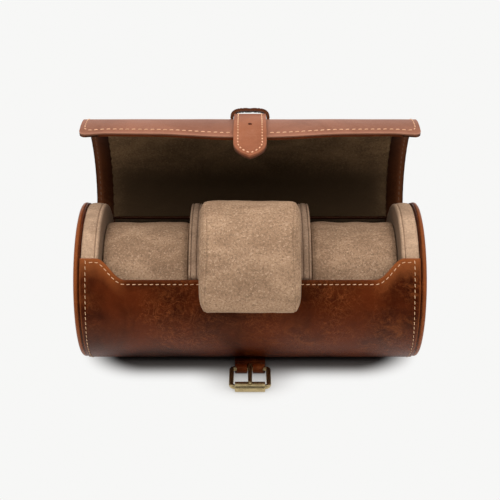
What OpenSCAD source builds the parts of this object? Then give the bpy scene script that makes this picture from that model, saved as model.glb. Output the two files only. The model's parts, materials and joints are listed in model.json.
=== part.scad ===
// Round travel case for three watches: a flat-bottomed tube body with padded
// round ends, a curved lid on a leather hinge, a strap-and-buckle closure and
// three removable cushions. Millimetres, +Z up, the front faces -Y, the floor
// is z = 0.

/* [Case] */
// Outside radius of the leather-covered body
body_r = 50.6; // [35:0.1:80]
// Half length of the body between the end caps
body_half = 103.5; // [80:0.5:150]
// Depth by which the underside is flattened
flat_depth = 1.7; // [1:0.1:8]
// Thickness of the outer leather
leather_t = 1.3; // [0.8:0.1:2.5]
// Thickness of the stiff board inside the leather
board_t = 1.8; // [1:0.1:4]
// Thickness of the suede lining
lining_t = 1.0; // [0.5:0.1:2]
// Height of the front wall's edge, as an angle above the axis
rim_angle = 23.6; // [10:0.1:35]
// Height of the raised ears at the ends of the front wall, as an angle
ear_angle = 38.8; // [36:0.1:50]
// Length over which the front edge curves down from ear to middle
ear_run = 18; // [10:0.5:30]

/* [Ends] */
// Thickness of each leather end cap
cap_t = 4.2; // [2:0.1:8]
// Gap by which the caps and piping stay inside the body's radius
cap_inset = 0.6; // [0.3:0.1:3]
// Width of the piping round each end
welt_w = 2.2; // [1.2:0.1:3]
// Length of each suede-covered end block
block_w = 10; // [5:0.5:20]
// Gap by which the end blocks stay inside the body's radius
block_inset = 1.4; // [1.4:0.1:5]

/* [Dividers] */
// Width of the middle compartment
middle_w = 61.2; // [50:0.2:80]
// Thickness of each divider with its suede
divider_w = 7; // [4:0.5:10]
// Gap between a divider's top and the closed lid
divider_inset = 1.4; // [1.4:0.1:8]

/* [Lid] */
// Angle of the hinge line above the axis, at the back
hinge_angle = 27.2; // [20:0.1:35]
// Angle by which the lid stands open
lid_open = 62.3; // [0:0.1:70]
// Height of the closed lid's front edge, as an angle above the axis
lid_edge_angle = 10; // [5:0.5:20]
// Length by which each end of the lid stays short of the body's end
lid_short = 0.1; // [0.1:0.1:3]
// Thickness of the lid's leather
lid_leather_t = 1.3; // [0.8:0.1:2.5]
// Thickness of the lid's inner layer
lid_inner_t = 1.1; // [0.6:0.1:3]
// Width of the leather margins inside the lid
margin_w = 11.5; // [5:0.5:20]
// Width of the leather facing along the lid's front edge
facing_w = 10; // [5:0.5:20]
// Radius of the lid's front corners
lid_corner_r = 4; // [1:0.5:8]
// Radius of the rolled leather fold on the hinge line
fold_r = 1.6; // [1:0.1:3]

/* [Closure strap] */
// Width of the strap on the lid
strap_w = 19.8; // [12:0.2:30]
// Thickness of each of the strap's two plies
ply_t = 1.4; // [0.8:0.1:2]
// Length of the strap along the lid, as an angle
strap_span = 52; // [40:1:70]
// Length of the tab beyond the lid's edge
tab_len = 25.2; // [12:0.5:50]
// Length of the tab's pointed end
tab_tip = 12; // [6:0.5:20]
// Place of the keeper loop, as an angle from the lid's front edge
keeper_angle = 41.5; // [35:0.5:48]
// Width of the keeper loop along the strap
keeper_w = 8; // [4:0.5:15]
// Height of the keeper loop above the lid
keeper_h = 7.2; // [6:0.1:10]
// Thickness of the keeper's leather
keeper_t = 2; // [1:0.1:2.5]

/* [Buckle] */
// Width of the strap that carries the buckle
buckle_strap_w = 19.4; // [12:0.2:30]
// Distance from the strap's root to the buckle's bar
buckle_reach = 11; // [9:0.5:30]
// Distance from the buckle's bar to its roller
buckle_len = 22.6; // [14:0.2:30]
// Radius of the buckle's wire
wire_r = 1.5; // [1:0.1:2]
// Radius of the roller on the buckle
roller_r = 3.2; // [2.4:0.1:4]

/* [Cushions] */
// Height of each cushion
cushion_h = 70.3; // [50:0.5:72]
// Thickness of each cushion
cushion_d = 34.4; // [25:0.2:36]
// Radius of each cushion's curved face, centred on the case
cushion_r = 38.5; // [36:0.5:43]
// Elevation of the cushions' faces
cushion_tilt = 39; // [25:1:55]
// Gap between a cushion and the walls beside it
cushion_gap = 0.4; // [0.3:0.1:2]
// Thickness of the suede on each cushion
suede_t = 1.2; // [0.8:0.1:2.5]
// Gap between the drawn-out middle cushion's back and the front wall's edge
cushion_clear = 0.4; // [0.3:0.1:10]

/* [Stitching] */
// Distance from stitch to stitch
stitch_pitch = 3.5; // [3:0.1:6]
// Length of one stitch
stitch_len = 2.4; // [1:0.1:2.6]
// Radius of the thread
thread_r = 0.15; // [0.1:0.01:0.17]

/* [Hidden] */
$fn = 96;
e = 0.01;
big = 400;
axis_z = body_r - flat_depth;
inner_r = body_r - leather_t - board_t - lining_t;
half_in = body_half - 0.2 - block_w;          // inner faces of the end blocks
face_t = 1;                                   // suede face on each end block
cap_r = body_r - cap_inset;
block_r = body_r - block_inset;
div_r = body_r - divider_inset;
hinge_r = body_r - 0.8;
hinge_y = hinge_r * cos(hinge_angle);
hinge_z = axis_z + hinge_r * sin(hinge_angle);
lid_in = body_r;                              // inner radius of the lid
lid_half = body_half - lid_short;
lid_mid = lid_in + lid_inner_t;
lid_out = lid_mid + lid_leather_t;
lid_cy = -0.6 * cos(hinge_angle);             // centre of the lid's curve
lid_cz = axis_z - 0.6 * sin(hinge_angle);
rim_z = axis_z + body_r * sin(rim_angle);
ear_z = axis_z + body_r * sin(ear_angle);
ear_x = half_in + 0.6;
mid_half = middle_w / 2;
div_out = mid_half + divider_w;
side_mid = (div_out + half_in - face_t) / 2;
side_half = (half_in - face_t - div_out) / 2 - cushion_gap;
centre_half = mid_half - cushion_gap - 0.1;
seat_z = cushion_r - cushion_d - 0.3;         // top of the seat pads
cushion_out = body_r * cos(cushion_tilt - rim_angle) - (cushion_r - cushion_d) + cushion_clear;
root_y = -26.5;                               // fold at the buckle strap's root
root_z = 1.65;
slope = 8.5;                                  // slope of the buckle strap
bar_y = root_y - buckle_reach * cos(slope);
bar_z = root_z + buckle_reach * sin(slope);
frame_in = buckle_strap_w / 2 + 0.4;          // inside half width of the buckle
frame_x = frame_in + wire_r;

leather_c = [0.33, 0.13, 0.06];
lid_c = [0.55, 0.30, 0.22];
suede_c = [0.62, 0.51, 0.42];
dark_c = [0.22, 0.18, 0.13];
board_c = [0.55, 0.47, 0.36];
foam_c = [0.86, 0.84, 0.78];
brass_c = [0.55, 0.44, 0.24];
thread_c = [0.88, 0.72, 0.55];

// ---- shared shapes ---------------------------------------------------------

// Cylinder along X between two ends, centred on the case's axis.
module rod(r, x0, x1, y = 0, z = axis_z) {
  translate([x0, y, z]) rotate([0, 90, 0]) cylinder(r = r, h = x1 - x0);
}

// Round log flattened underneath, lying inside the body's outline.
module log_shape(r, x0, x1) {
  intersection() {
    rod(r, x0, x1);
    translate([x0 - 1, -r - 1, body_r - r]) cube([x1 - x0 + 2, 2 * r + 2, 2 * r]);
  }
}

// Ring along X round the lid's own centre.
module lid_ring(r0, r1, x0, x1) {
  difference() {
    rod(r1, x0, x1, lid_cy, lid_cz);
    rod(r0, x0 - 1, x1 + 1, lid_cy, lid_cz);
  }
}

// Outline of everything above the front wall's edge: ears at both ends.
module front_cut(drop = 0) {
  n = 12;
  right = [for (i = [0 : n]) let (t = i / n)
    [ear_x - ear_run + ear_run * t,
     rim_z + (ear_z - rim_z) * (1 - cos(180 * t)) / 2 - drop]];
  left = [for (i = [0 : n]) let (t = 1 - i / n)
    [-(ear_x - ear_run + ear_run * t),
     rim_z + (ear_z - rim_z) * (1 - cos(180 * t)) / 2 - drop]];
  translate([0, 0, 0]) rotate([90, 0, 0]) linear_extrude(height = body_r + 5)
    polygon(concat([[-body_half - 5, ear_z - drop]], left, right,
      [[body_half + 5, ear_z - drop], [body_half + 5, big], [-body_half - 5, big]]));
}

// Everything above the back wall's edge, with the seat for the hinge fold.
module back_cut(drop = 0) {
  translate([-body_half - 5, -e, hinge_z - 1 - drop])
    cube([2 * body_half + 10, body_r + 10, big]);
  rod(fold_r, -body_half - 5, body_half + 5, hinge_y, hinge_z);
}

// One layer of the body's wall between two radii.
module body_layer(r0, r1, x1, drop = 0) {
  difference() {
    log_shape(r1, -x1, x1);
    log_shape(r0, -x1 - 2, x1 + 2);
    front_cut(drop);
    back_cut(drop);
  }
}

// Turns a closed-lid shape to the lid's standing-open position.
module at_lid() {
  translate([0, hinge_y, hinge_z]) rotate([-lid_open, 0, 0])
    translate([0, -hinge_y, -hinge_z]) children();
}

// Everything the lid's curve must not reach: below its edges, round the fold.
module lid_ends() {
  translate([0, hinge_y, hinge_z]) rotate([hinge_angle, 0, 0])
    translate([-big / 2, -big / 2, -big + 2.3]) cube([big, big, big]);
  translate([0, lid_cy, lid_cz]) rotate([-lid_edge_angle, 0, 0])
    translate([-big / 2, -big / 2, -big]) cube([big, big, big]);
}

// Rounds off the two front corners of the lid with short flats.
module lid_corners() {
  r = lid_corner_r;
  n = 6;
  curve = [for (i = [0 : n]) let (a = 90 * i / n) [lid_half - r + r * sin(a), r - r * cos(a)]];
  for (s = [-1, 1])
    translate([0, lid_cy, lid_cz]) rotate([90 - lid_edge_angle, 0, 0])
      mirror([s < 0 ? 1 : 0, 0, 0]) translate([0, 0, lid_in - 6])
        linear_extrude(height = 16)
          polygon(concat([[lid_half - r - 0.05, -1]], curve, [[lid_half + 1, r + 0.05], [lid_half + 1, -1]]));
}

module lid_layer(r0, r1, x0, x1) {
  difference() {
    lid_ring(r0, r1, x0, x1);
    lid_ends();
    lid_corners();
  }
}

// Frame of a cushion: z is out of its face, y runs up it.
module at_cushion(x = 0, out = 0, up = 0) {
  translate([x, 0, axis_z]) rotate([90 - cushion_tilt, 0, 0])
    translate([0, up, out]) children();
}

// D-shaped cushion body: curved face, flat back, eased back edges.
ease = 5;
module d_block(x0, x1, t = 0) {
  z0 = cushion_r - cushion_d;
  difference() {
    intersection() {
      translate([x0, 0, 0]) rotate([0, 90, 0]) cylinder(r = cushion_r - t, h = x1 - x0);
      translate([x0 - 1, -cushion_h / 2 + t, z0 + t])
        cube([x1 - x0 + 2, cushion_h - 2 * t, cushion_d]);
    }
    for (s = [-1, 1]) translate([(x0 + x1) / 2, s * cushion_h / 2, z0]) rotate([45, 0, 0])
      cube([x1 - x0 + 2, (ease + 1.414 * t) * 1.414, (ease + 1.414 * t) * 1.414], center = true);
  }
}

// ---- body ------------------------------------------------------------------

module body_leather() color(leather_c)
  body_layer(body_r - leather_t, body_r, body_half);

module body_board() color(board_c)
  body_layer(body_r - leather_t - board_t, body_r - leather_t, half_in, 1);

module body_lining() color(dark_c)
  body_layer(inner_r, body_r - leather_t - board_t, half_in - face_t, 1);

module end_cap(s) color(leather_c)
  mirror([s < 0 ? 1 : 0, 0, 0]) {
    log_shape(cap_r - welt_w, body_half, body_half + welt_w);
    intersection() {
      translate([body_half + welt_w, 0, axis_z]) rotate([0, 90, 0])
        cylinder(r1 = cap_r - 0.3, r2 = cap_r - 1.3, h = cap_t - welt_w);
      translate([body_half, -body_r, cap_inset + 0.3])
        cube([cap_t, 2 * body_r, 2 * body_r]);
    }
  }
module end_cap_left() end_cap(-1);
module end_cap_right() end_cap(1);

// Leather-covered cord between the body's end and the cap.
module end_piping(s) color(leather_c)
  mirror([s < 0 ? 1 : 0, 0, 0]) difference() {
    log_shape(cap_r, body_half, body_half + welt_w);
    log_shape(cap_r - welt_w, body_half - 1, body_half + welt_w + 1);
  }
module end_piping_left() end_piping(-1);
module end_piping_right() end_piping(1);

module end_block(s) color(suede_c)
  mirror([s < 0 ? 1 : 0, 0, 0]) log_shape(block_r, half_in, body_half);
module end_block_left() end_block(-1);
module end_block_right() end_block(1);

module end_face(s) color(suede_c)
  mirror([s < 0 ? 1 : 0, 0, 0]) difference() {
    log_shape(block_r - 0.3, half_in - face_t, half_in);
    // the layers of the wall run beside the face
    difference() {
      log_shape(body_r, half_in - face_t - 1, half_in + 1);
      log_shape(body_r - leather_t - board_t, half_in - face_t - 2, half_in + 2);
      front_cut(1);
      back_cut(1);
    }
  }
module end_face_left() end_face(-1);
module end_face_right() end_face(1);

// Shape of a divider: round, cut to the inside of the body's wall.
module divider_shape(x0, x1, t) {
  difference() {
    log_shape(div_r - t, x0, x1);
    difference() {
      log_shape(body_r + 1, x0 - 1, x1 + 1);
      log_shape(inner_r - t, x0 - 2, x1 + 2);
      front_cut(1 - t);
      back_cut(1 - t);
    }
    // room for the lid's fold
    rod(fold_r + cushion_gap + t, x0 - 1, x1 + 1, hinge_y, hinge_z);
  }
}

module divider_board(s) color(board_c)
  mirror([s < 0 ? 1 : 0, 0, 0]) divider_shape(mid_half + suede_t, div_out - suede_t, suede_t);
module divider_board_left() divider_board(-1);
module divider_board_right() divider_board(1);

module divider_cover(s) color(suede_c)
  mirror([s < 0 ? 1 : 0, 0, 0]) difference() {
    divider_shape(mid_half, div_out, 0);
    divider_shape(mid_half + suede_t, div_out - suede_t, suede_t);
  }
module divider_cover_left() divider_cover(-1);
module divider_cover_right() divider_cover(1);

// Pad under a cushion, filling the bottom and back of its compartment.
module seat(x0, x1) color(dark_c) intersection() {
  log_shape(inner_r, x0, x1);
  at_cushion() translate([x0, -cushion_h / 2, -body_r]) cube([x1 - x0, cushion_h, body_r + seat_z]);
}
module seat_left() seat(-(half_in - face_t), -div_out);
module seat_middle() seat(-mid_half, mid_half);
module seat_right() seat(div_out, half_in - face_t);

module hinge_fold() color(leather_c)
  rod(fold_r, -(half_in - face_t - cushion_gap), half_in - face_t - cushion_gap, hinge_y, hinge_z);

// Tongue sewn to the underside, ending in the fold the strap turns on.
module buckle_anchor() color(leather_c) {
  difference() {
    translate([-buckle_strap_w / 2, root_y + 1, 0.35]) cube([buckle_strap_w, 7.5, 2.6]);
    rod(body_r, -buckle_strap_w, buckle_strap_w);
    rod(1.3, -buckle_strap_w, buckle_strap_w, root_y, root_z);
  }
  rod(1.3, -buckle_strap_w / 2, buckle_strap_w / 2, root_y, root_z);
}

// Row of thread stitches just under the front edge.
module front_stitching() color(thread_c) {
  n = floor((ear_x - ear_run - stitch_len) / stitch_pitch);
  a = rim_angle - 3;
  r = body_r + thread_r;
  for (i = [-n : n]) translate([i * stitch_pitch - stitch_len / 2, -r * cos(a), axis_z + r * sin(a)])
    rotate([0, 90, 0]) cylinder(r = thread_r, h = stitch_len, $fn = 16);
}

// ---- lid -------------------------------------------------------------------

module lid_leather() color(lid_c) at_lid()
  lid_layer(lid_mid, lid_out, -lid_half, lid_half);

// Everything within the facing's width of the lid's front edge.
module facing_zone() translate([0, lid_cy, lid_cz]) rotate([-lid_edge_angle, 0, 0])
  translate([-big / 2, -big, -facing_w]) cube([big, big, 2 * facing_w]);

module lid_lining() color(dark_c) at_lid() difference() {
  lid_layer(lid_in, lid_mid, -(lid_half - margin_w), lid_half - margin_w);
  facing_zone();
}

module lid_margin(s) color(leather_c) at_lid()
  mirror([s < 0 ? 1 : 0, 0, 0]) lid_layer(lid_in, lid_mid, lid_half - margin_w, lid_half);
module lid_margin_left() lid_margin(-1);
module lid_margin_right() lid_margin(1);

module lid_front_facing() color(leather_c) at_lid() intersection() {
  lid_layer(lid_in, lid_mid, -(lid_half - margin_w), lid_half - margin_w);
  facing_zone();
}

module lid_stitching() color(thread_c) at_lid() {
  n = floor((lid_half - 2 * lid_corner_r) / stitch_pitch);
  m = ceil((strap_w / 2 + 1.5) / stitch_pitch);
  a = lid_edge_angle + 4;
  r = lid_out + thread_r;
  for (s = [-1, 1], i = [m : n])
    translate([s * i * stitch_pitch - stitch_len / 2, lid_cy - r * cos(a), lid_cz + r * sin(a)])
      rotate([0, 90, 0]) cylinder(r = thread_r, h = stitch_len, $fn = 16);
}

// Strap lying along the outside of the lid, between two radii.
module lid_strap(r0, r1, a0, a1) {
  intersection() {
    lid_ring(r0, r1, -strap_w / 2, strap_w / 2);
    translate([0, lid_cy, lid_cz]) rotate([-a0, 0, 0])
      translate([-big / 2, -big, 0]) cube([big, big, big]);
    translate([0, lid_cy, lid_cz]) rotate([-a1, 0, 0])
      translate([-big / 2, -big, -big]) cube([big, big, big]);
  }
}
strap_mid = lid_out + ply_t;
strap_out = lid_out + 2 * ply_t;
tab_y = lid_cy - strap_mid * cos(lid_edge_angle);
tab_z = lid_cz + strap_mid * sin(lid_edge_angle);

module strap_top() color(lid_c) at_lid() difference() {
  lid_strap(strap_mid, strap_out, lid_edge_angle, lid_edge_angle + strap_span);
  rod(1.3, -strap_w, strap_w, tab_y, tab_z);
  // hole for the prong
  translate([0, lid_cy, lid_cz]) rotate([-lid_edge_angle - 14, 0, 0])
    translate([0, -strap_out - 2, 0]) rotate([-90, 0, 0]) cylinder(r = 1.1, h = 5, $fn = 32);
}

module strap_backing() color(leather_c) at_lid() {
  difference() {
    lid_strap(lid_out, strap_mid, lid_edge_angle, lid_edge_angle + strap_span);
    rod(1.3, -strap_w, strap_w, tab_y, tab_z);
  }
  rod(1.3, -strap_w / 2, strap_w / 2, tab_y, tab_z);
}

// Upright leather loop over the strap at the top of the open lid.
module strap_keeper() color(lid_c) at_lid() {
  w = strap_w + 0.8 + 2 * keeper_t;
  r = 3.4;
  translate([0, lid_cy, lid_cz]) rotate([90 - lid_edge_angle - keeper_angle, 0, 0])
    translate([0, keeper_w / 2, 0]) rotate([90, 0, 0]) difference() {
      linear_extrude(height = keeper_w) difference() {
        union() {
          translate([-w / 2, 0]) square([w, lid_out + keeper_h - r]);
          translate([-w / 2 + r, 0]) square([w - 2 * r, lid_out + keeper_h]);
          for (s = [-1, 1]) translate([s * (w / 2 - r), lid_out + keeper_h - r]) circle(r = r, $fn = 48);
        }
        translate([-w / 2 + keeper_t, -1]) square([w - 2 * keeper_t, 1 + lid_out + keeper_h - keeper_t]);
      }
      translate([-big / 2, 0, keeper_w / 2]) rotate([0, 90, 0]) cylinder(r = lid_out, h = big);
    }
}

// Outline of the free end of the closure strap: straight sides, ogive point.
module tab_outline(w, len, tip) {
  r = (tip * tip + w * w / 4) / w;
  translate([-w / 2, 0]) square([w, len - tip]);
  translate([0, len - tip]) intersection() {
    translate([w / 2 - r, 0]) circle(r = r);
    translate([r - w / 2, 0]) circle(r = r);
    translate([-w, 0]) square([2 * w, tip + 1]);
  }
}

// Frame of the tab: y runs from the fold to the point, z is outward.
module at_tab() at_lid() translate([0, tab_y, tab_z])
  rotate([-90 - lid_edge_angle, 0, 0]) mirror([0, 0, 1]) children();

module tab_ply(z0) at_tab() difference() {
  translate([0, 0, z0]) linear_extrude(height = ply_t) difference() {
    translate([0, 0]) tab_outline(strap_w, tab_len, tab_tip);
  }
  rod_local(1.6);
}
module rod_local(r) translate([-strap_w, 0, 0]) rotate([0, 90, 0]) cylinder(r = r, h = 2 * strap_w);
module tab_top() color(lid_c) tab_ply(0);
module tab_backing() color(leather_c) tab_ply(-ply_t);

// ---- buckle ----------------------------------------------------------------

// Frame of the buckle strap: y runs forward from its root, z is up.
module at_strap() translate([0, root_y, root_z]) rotate([slope, 0, 180]) mirror([1, 0, 0]) children();

module buckle_strap() color(leather_c) at_strap() difference() {
  union() {
    translate([-buckle_strap_w / 2, 0, -ply_t]) cube([buckle_strap_w, buckle_reach, 2 * ply_t]);
    translate([-buckle_strap_w / 2, buckle_reach, 0]) rotate([0, 90, 0]) cylinder(r = wire_r + 0.2 + ply_t - 0.1, h = buckle_strap_w);
  }
  rod_local(1.6);
  translate([0, buckle_reach, 0]) rod_local(wire_r + 0.2);
  // slot for the prong's root
  translate([-1.9, buckle_reach - 4.2, -wire_r - 1.4]) cube([3.8, 12, 12]);
}

module buckle_frame() color(brass_c) translate([0, bar_y, bar_z]) {
  rod_at(wire_r, -frame_x, frame_x, 0);
  rod_at(wire_r, -frame_x, frame_x, -buckle_len);
  for (s = [-1, 1]) {
    translate([s * frame_x, -buckle_len, 0]) rotate([-90, 0, 0]) cylinder(r = wire_r, h = buckle_len);
    for (y = [0, -buckle_len]) translate([s * frame_x, y, 0]) sphere(r = wire_r);
  }
}
module rod_at(r, x0, x1, y) translate([x0, y, 0]) rotate([0, 90, 0]) cylinder(r = r, h = x1 - x0);

module buckle_roller() color(brass_c) translate([0, bar_y, bar_z]) difference() {
  rod_at(roller_r, -9, 9, -buckle_len);
  rod_at(wire_r + 0.15, -10, 10, -buckle_len);
}

// Tongue looped round the bar, lying across the frame onto the roller.
module buckle_prong() color(brass_c) translate([0, bar_y, bar_z]) {
  rise = asin((roller_r + 0.95) / buckle_len);
  difference() {
    union() {
      rod_at(wire_r + 1.2, -1.3, 1.3, 0);
      rotate([-rise, 0, 0]) translate([-1.3, -buckle_len - 2.4, -0.8]) cube([2.6, buckle_len + 2.4, 1.6]);
    }
    rod_at(wire_r + 0.15, -3, 3, 0);
  }
}

// ---- cushions --------------------------------------------------------------

side_t = 3.5;                                 // width of a cushion's side band

module cushion_wrap(x, h, out = 0, up = 0) color(suede_c) at_cushion(x, out, up)
  difference() {
    d_block(-(h - side_t), h - side_t);
    d_block(-h, h, suede_t);
  }

module cushion_side(x, h, s, out = 0, up = 0) color(suede_c) at_cushion(x, out, up)
  mirror([s < 0 ? 1 : 0, 0, 0]) difference() {
    union() {
      d_block(h - side_t, h - 1.2, 0);
      d_block(h - 1.2, h, 1.2);
    }
    d_block(h - side_t - 1, h - suede_t - 0.6, suede_t + 0.6);
  }

module cushion_foam(x, h, out = 0, up = 0) color(foam_c) at_cushion(x, out, up)
  union() {
    d_block(-(h - side_t), h - side_t, suede_t);
    d_block(-(h - suede_t - 0.6), h - suede_t - 0.6, suede_t + 0.6);
  }

module cushion_left_wrap() cushion_wrap(-side_mid, side_half);
module cushion_left_inner_side() cushion_side(-side_mid, side_half, 1);
module cushion_left_outer_side() cushion_side(-side_mid, side_half, -1);
module cushion_left_foam() cushion_foam(-side_mid, side_half);
module cushion_right_wrap() cushion_wrap(side_mid, side_half);
module cushion_right_inner_side() cushion_side(side_mid, side_half, -1);
module cushion_right_outer_side() cushion_side(side_mid, side_half, 1);
module cushion_right_foam() cushion_foam(side_mid, side_half);
middle_up = -0.7;                              // rise of the middle cushion as it is drawn out
module cushion_middle_wrap() cushion_wrap(0, centre_half, cushion_out, middle_up);
module cushion_middle_left_side() cushion_side(0, centre_half, -1, cushion_out, middle_up);
module cushion_middle_right_side() cushion_side(0, centre_half, 1, cushion_out, middle_up);
module cushion_middle_foam() cushion_foam(0, centre_half, cushion_out, middle_up);

// ---- one line for each node ------------------------------------------------
body_leather();
body_board();
body_lining();
end_cap_left();
end_cap_right();
end_piping_left();
end_piping_right();
end_block_left();
end_block_right();
end_face_left();
end_face_right();
divider_board_left();
divider_board_right();
divider_cover_left();
divider_cover_right();
seat_left();
seat_middle();
seat_right();
hinge_fold();
buckle_anchor();
front_stitching();
lid_leather();
lid_lining();
lid_margin_left();
lid_margin_right();
lid_front_facing();
lid_stitching();
strap_top();
strap_backing();
strap_keeper();
tab_top();
tab_backing();
buckle_strap();
buckle_frame();
buckle_roller();
buckle_prong();
cushion_left_wrap();
cushion_left_inner_side();
cushion_left_outer_side();
cushion_left_foam();
cushion_middle_wrap();
cushion_middle_left_side();
cushion_middle_right_side();
cushion_middle_foam();
cushion_right_wrap();
cushion_right_inner_side();
cushion_right_outer_side();
cushion_right_foam();
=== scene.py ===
"""Dressed model of a round travel case for three watches.

The case stands open: a leather tube body with suede-covered padded ends, a
curved lid on a leather hinge, a closure strap with its keeper, a roller
buckle on a short strap, and three suede cushions.
"""
import json
import logging
import math
from dataclasses import dataclass, field
from enum import Enum
from functools import cached_property

import bpy
import numpy as np
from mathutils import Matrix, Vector


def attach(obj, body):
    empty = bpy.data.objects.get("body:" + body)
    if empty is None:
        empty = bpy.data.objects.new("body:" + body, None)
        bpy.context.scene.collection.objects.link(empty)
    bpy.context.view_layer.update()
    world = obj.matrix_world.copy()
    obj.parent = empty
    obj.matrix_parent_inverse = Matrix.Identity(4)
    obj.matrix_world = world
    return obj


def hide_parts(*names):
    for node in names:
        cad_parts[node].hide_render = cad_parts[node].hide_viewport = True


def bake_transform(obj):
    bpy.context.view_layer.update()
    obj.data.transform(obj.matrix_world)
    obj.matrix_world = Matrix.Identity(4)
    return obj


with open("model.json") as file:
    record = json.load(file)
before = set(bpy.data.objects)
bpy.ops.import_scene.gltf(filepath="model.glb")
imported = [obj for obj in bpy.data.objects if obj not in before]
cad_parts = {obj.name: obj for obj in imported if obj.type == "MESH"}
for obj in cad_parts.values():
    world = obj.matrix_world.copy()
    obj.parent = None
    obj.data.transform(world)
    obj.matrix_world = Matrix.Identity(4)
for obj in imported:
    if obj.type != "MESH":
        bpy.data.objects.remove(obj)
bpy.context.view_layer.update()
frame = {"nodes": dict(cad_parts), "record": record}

LOG = logging.getLogger("travel_case")
MM = 0.001
TURN, HALF_TURN, QUARTER = 2 * math.pi, math.pi, math.pi / 2
Array = np.ndarray
Surface = tuple[Array, list[Array]]
Point = tuple[float, float, float]
RGB = tuple[float, float, float]


# ---- sizes shared by the sub-assemblies, in millimetres and degrees ----------

@dataclass(frozen=True)
class Sizes:
    """Named sizes of the case, the same as the solid model's."""

    body_r: float = 50.6
    flat: float = 1.7
    body_half: float = 103.5
    leather_t: float = 1.3
    inner_r: float = 46.5
    block_in: float = 93.3
    block_face: float = 92.3
    pad_end: float = 92.0
    divider_in: float = 30.6
    divider_w: float = 7.0
    rim_deg: float = 23.6
    ear_deg: float = 38.8
    ear_x: float = 93.9
    ear_run: float = 18.0
    hinge_deg: float = 27.2
    lid_open: float = 62.3
    lid_edge: float = 10.0
    lid_half: float = 103.4
    lid_in: float = 50.6
    lid_mid: float = 51.7
    lid_out: float = 53.0
    margin: float = 11.5
    facing: float = 10.0
    strap_w: float = 19.8
    ply: float = 1.4
    pitch: float = 3.5
    lip: float = 1.35

    @property
    def axis_z(self) -> float:
        """Height of the body's axis over the floor."""
        return self.body_r - self.flat

    @property
    def hinge(self) -> tuple[float, float]:
        """Y and Z of the lid's hinge line."""
        a, r = math.radians(self.hinge_deg), self.body_r - 0.8
        return r * math.cos(a), self.axis_z + r * math.sin(a)

    @property
    def lid_centre(self) -> tuple[float, float]:
        """Y and Z of the centre of the closed lid's curve."""
        a = math.radians(self.hinge_deg)
        return -0.6 * math.cos(a), self.axis_z - 0.6 * math.sin(a)


S = Sizes()
AXIS = np.array([0.0, 0.0, S.axis_z])
ACROSS = np.array([1.0, 0.0, 0.0])


class Body(Enum):
    """Rigid bodies that the pieces ride on."""

    CASE = "case"
    LID = "lid"
    TAB = "tab"
    STRAP = "strap"
    BUCKLE = "buckle"
    ROLLER = "roller"
    PRONG = "prong"
    LEFT = "cushion_left"
    MIDDLE = "cushion_middle"
    RIGHT = "cushion_right"


class Side(Enum):
    """The two ends of the case, by the sign of X."""

    LEFT = -1
    RIGHT = 1

    def __str__(self) -> str:
        """The side in the names of pieces."""
        return self.name.lower()


# ---- curves and surfaces -----------------------------------------------------

def stack(x: Array, y: Array, z: Array) -> Array:
    """Joins three coordinate arrays, broadcast together, into points."""
    return np.stack(np.broadcast_arrays(x, y, z), axis=-1).astype(float)


def unit(v: Array) -> Array:
    """Directions of length 1."""
    return v / np.linalg.norm(v, axis=-1, keepdims=True)


def ease(t: Array) -> Array:
    """Smooth step from 0 to 1: 3t^2 - 2t^3 with t held in 0..1."""
    t = np.clip(t, 0.0, 1.0)
    return t * t * (3.0 - 2.0 * t)


def bell(x: Array, width: float) -> Array:
    """Bell curve of height 1: e to the power -(x / width)^2."""
    return np.exp(-(x / width) ** 2)


def ripple(p: Array, wave: float, seed: int) -> Array:
    """Gentle unevenness of a hand-made surface, about -1 to 1.

    The sum of six sine waves with fixed directions near the wave length given.

    Args:
        p: points, in millimetres.
        wave: typical wave length, in millimetres.
        seed: picks the directions.

    Returns:
        One value for each point.
    """
    rng = np.random.default_rng(seed)
    out = np.zeros(p.shape[:-1])
    for _ in range(6):
        d = rng.normal(size=3)
        d *= TURN / (wave * (0.7 + 0.8 * rng.random())) / np.linalg.norm(d)
        out += np.sin(p @ d + rng.random() * 6.283)
    return out / 3.2


def turned(p: Array, centre: tuple[float, float], degrees: float) -> Array:
    """Points turned about a line along X.

    Args:
        p: points.
        centre: Y and Z of the line.
        degrees: angle of the turn, from Y towards Z.

    Returns:
        The points, moved.
    """
    a = math.radians(degrees)
    y, z = p[..., 1] - centre[0], p[..., 2] - centre[1]
    return stack(p[..., 0], centre[0] + y * math.cos(a) - z * math.sin(a),
                 centre[1] + y * math.sin(a) + z * math.cos(a))


def opened(p: Array) -> Array:
    """Points of the closed lid, moved to where the lid stands open."""
    return turned(p, S.hinge, -S.lid_open)


def around(x: Array, r: Array, deg: Array, centre: tuple[float, float] | None = None) -> Array:
    """Points round the case's axis.

    Args:
        x: place along the case.
        r: distance from the centre line.
        deg: angle above the front horizontal, so 90 is up and 180 is the back.
        centre: Y and Z of the centre line, the body's axis if left out.

    Returns:
        The points, shape of the inputs broadcast together, plus 3.
    """
    cy, cz = centre or (0.0, S.axis_z)
    a = np.radians(deg)
    return stack(x, cy - r * np.cos(a), cz + r * np.sin(a))


def outward(p: Array, centre: Array) -> Array:
    """Vectors from a line along X, through a centre, to points."""
    return (p - centre) * [0, 1, 1]


def mirrored(side: Array) -> Array:
    """Rising places from 0 out, with the same places on the other side of 0."""
    return np.concatenate([-side[:0:-1], side])


def grid_faces(nu: int, nv: int, wrap_v: bool = False) -> Array:
    """Quads of a grid of points.

    Args:
        nu: number of rows.
        nv: points in a row.
        wrap_v: joins each row's last point to its first.

    Returns:
        Four point numbers for each quad.
    """
    i, j = np.meshgrid(np.arange(nu - 1), np.arange(nv if wrap_v else nv - 1), indexing="ij")
    k = (j + 1) % nv
    return np.stack([i * nv + j, (i + 1) * nv + j, (i + 1) * nv + k, i * nv + k], -1).reshape(-1, 4)


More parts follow.
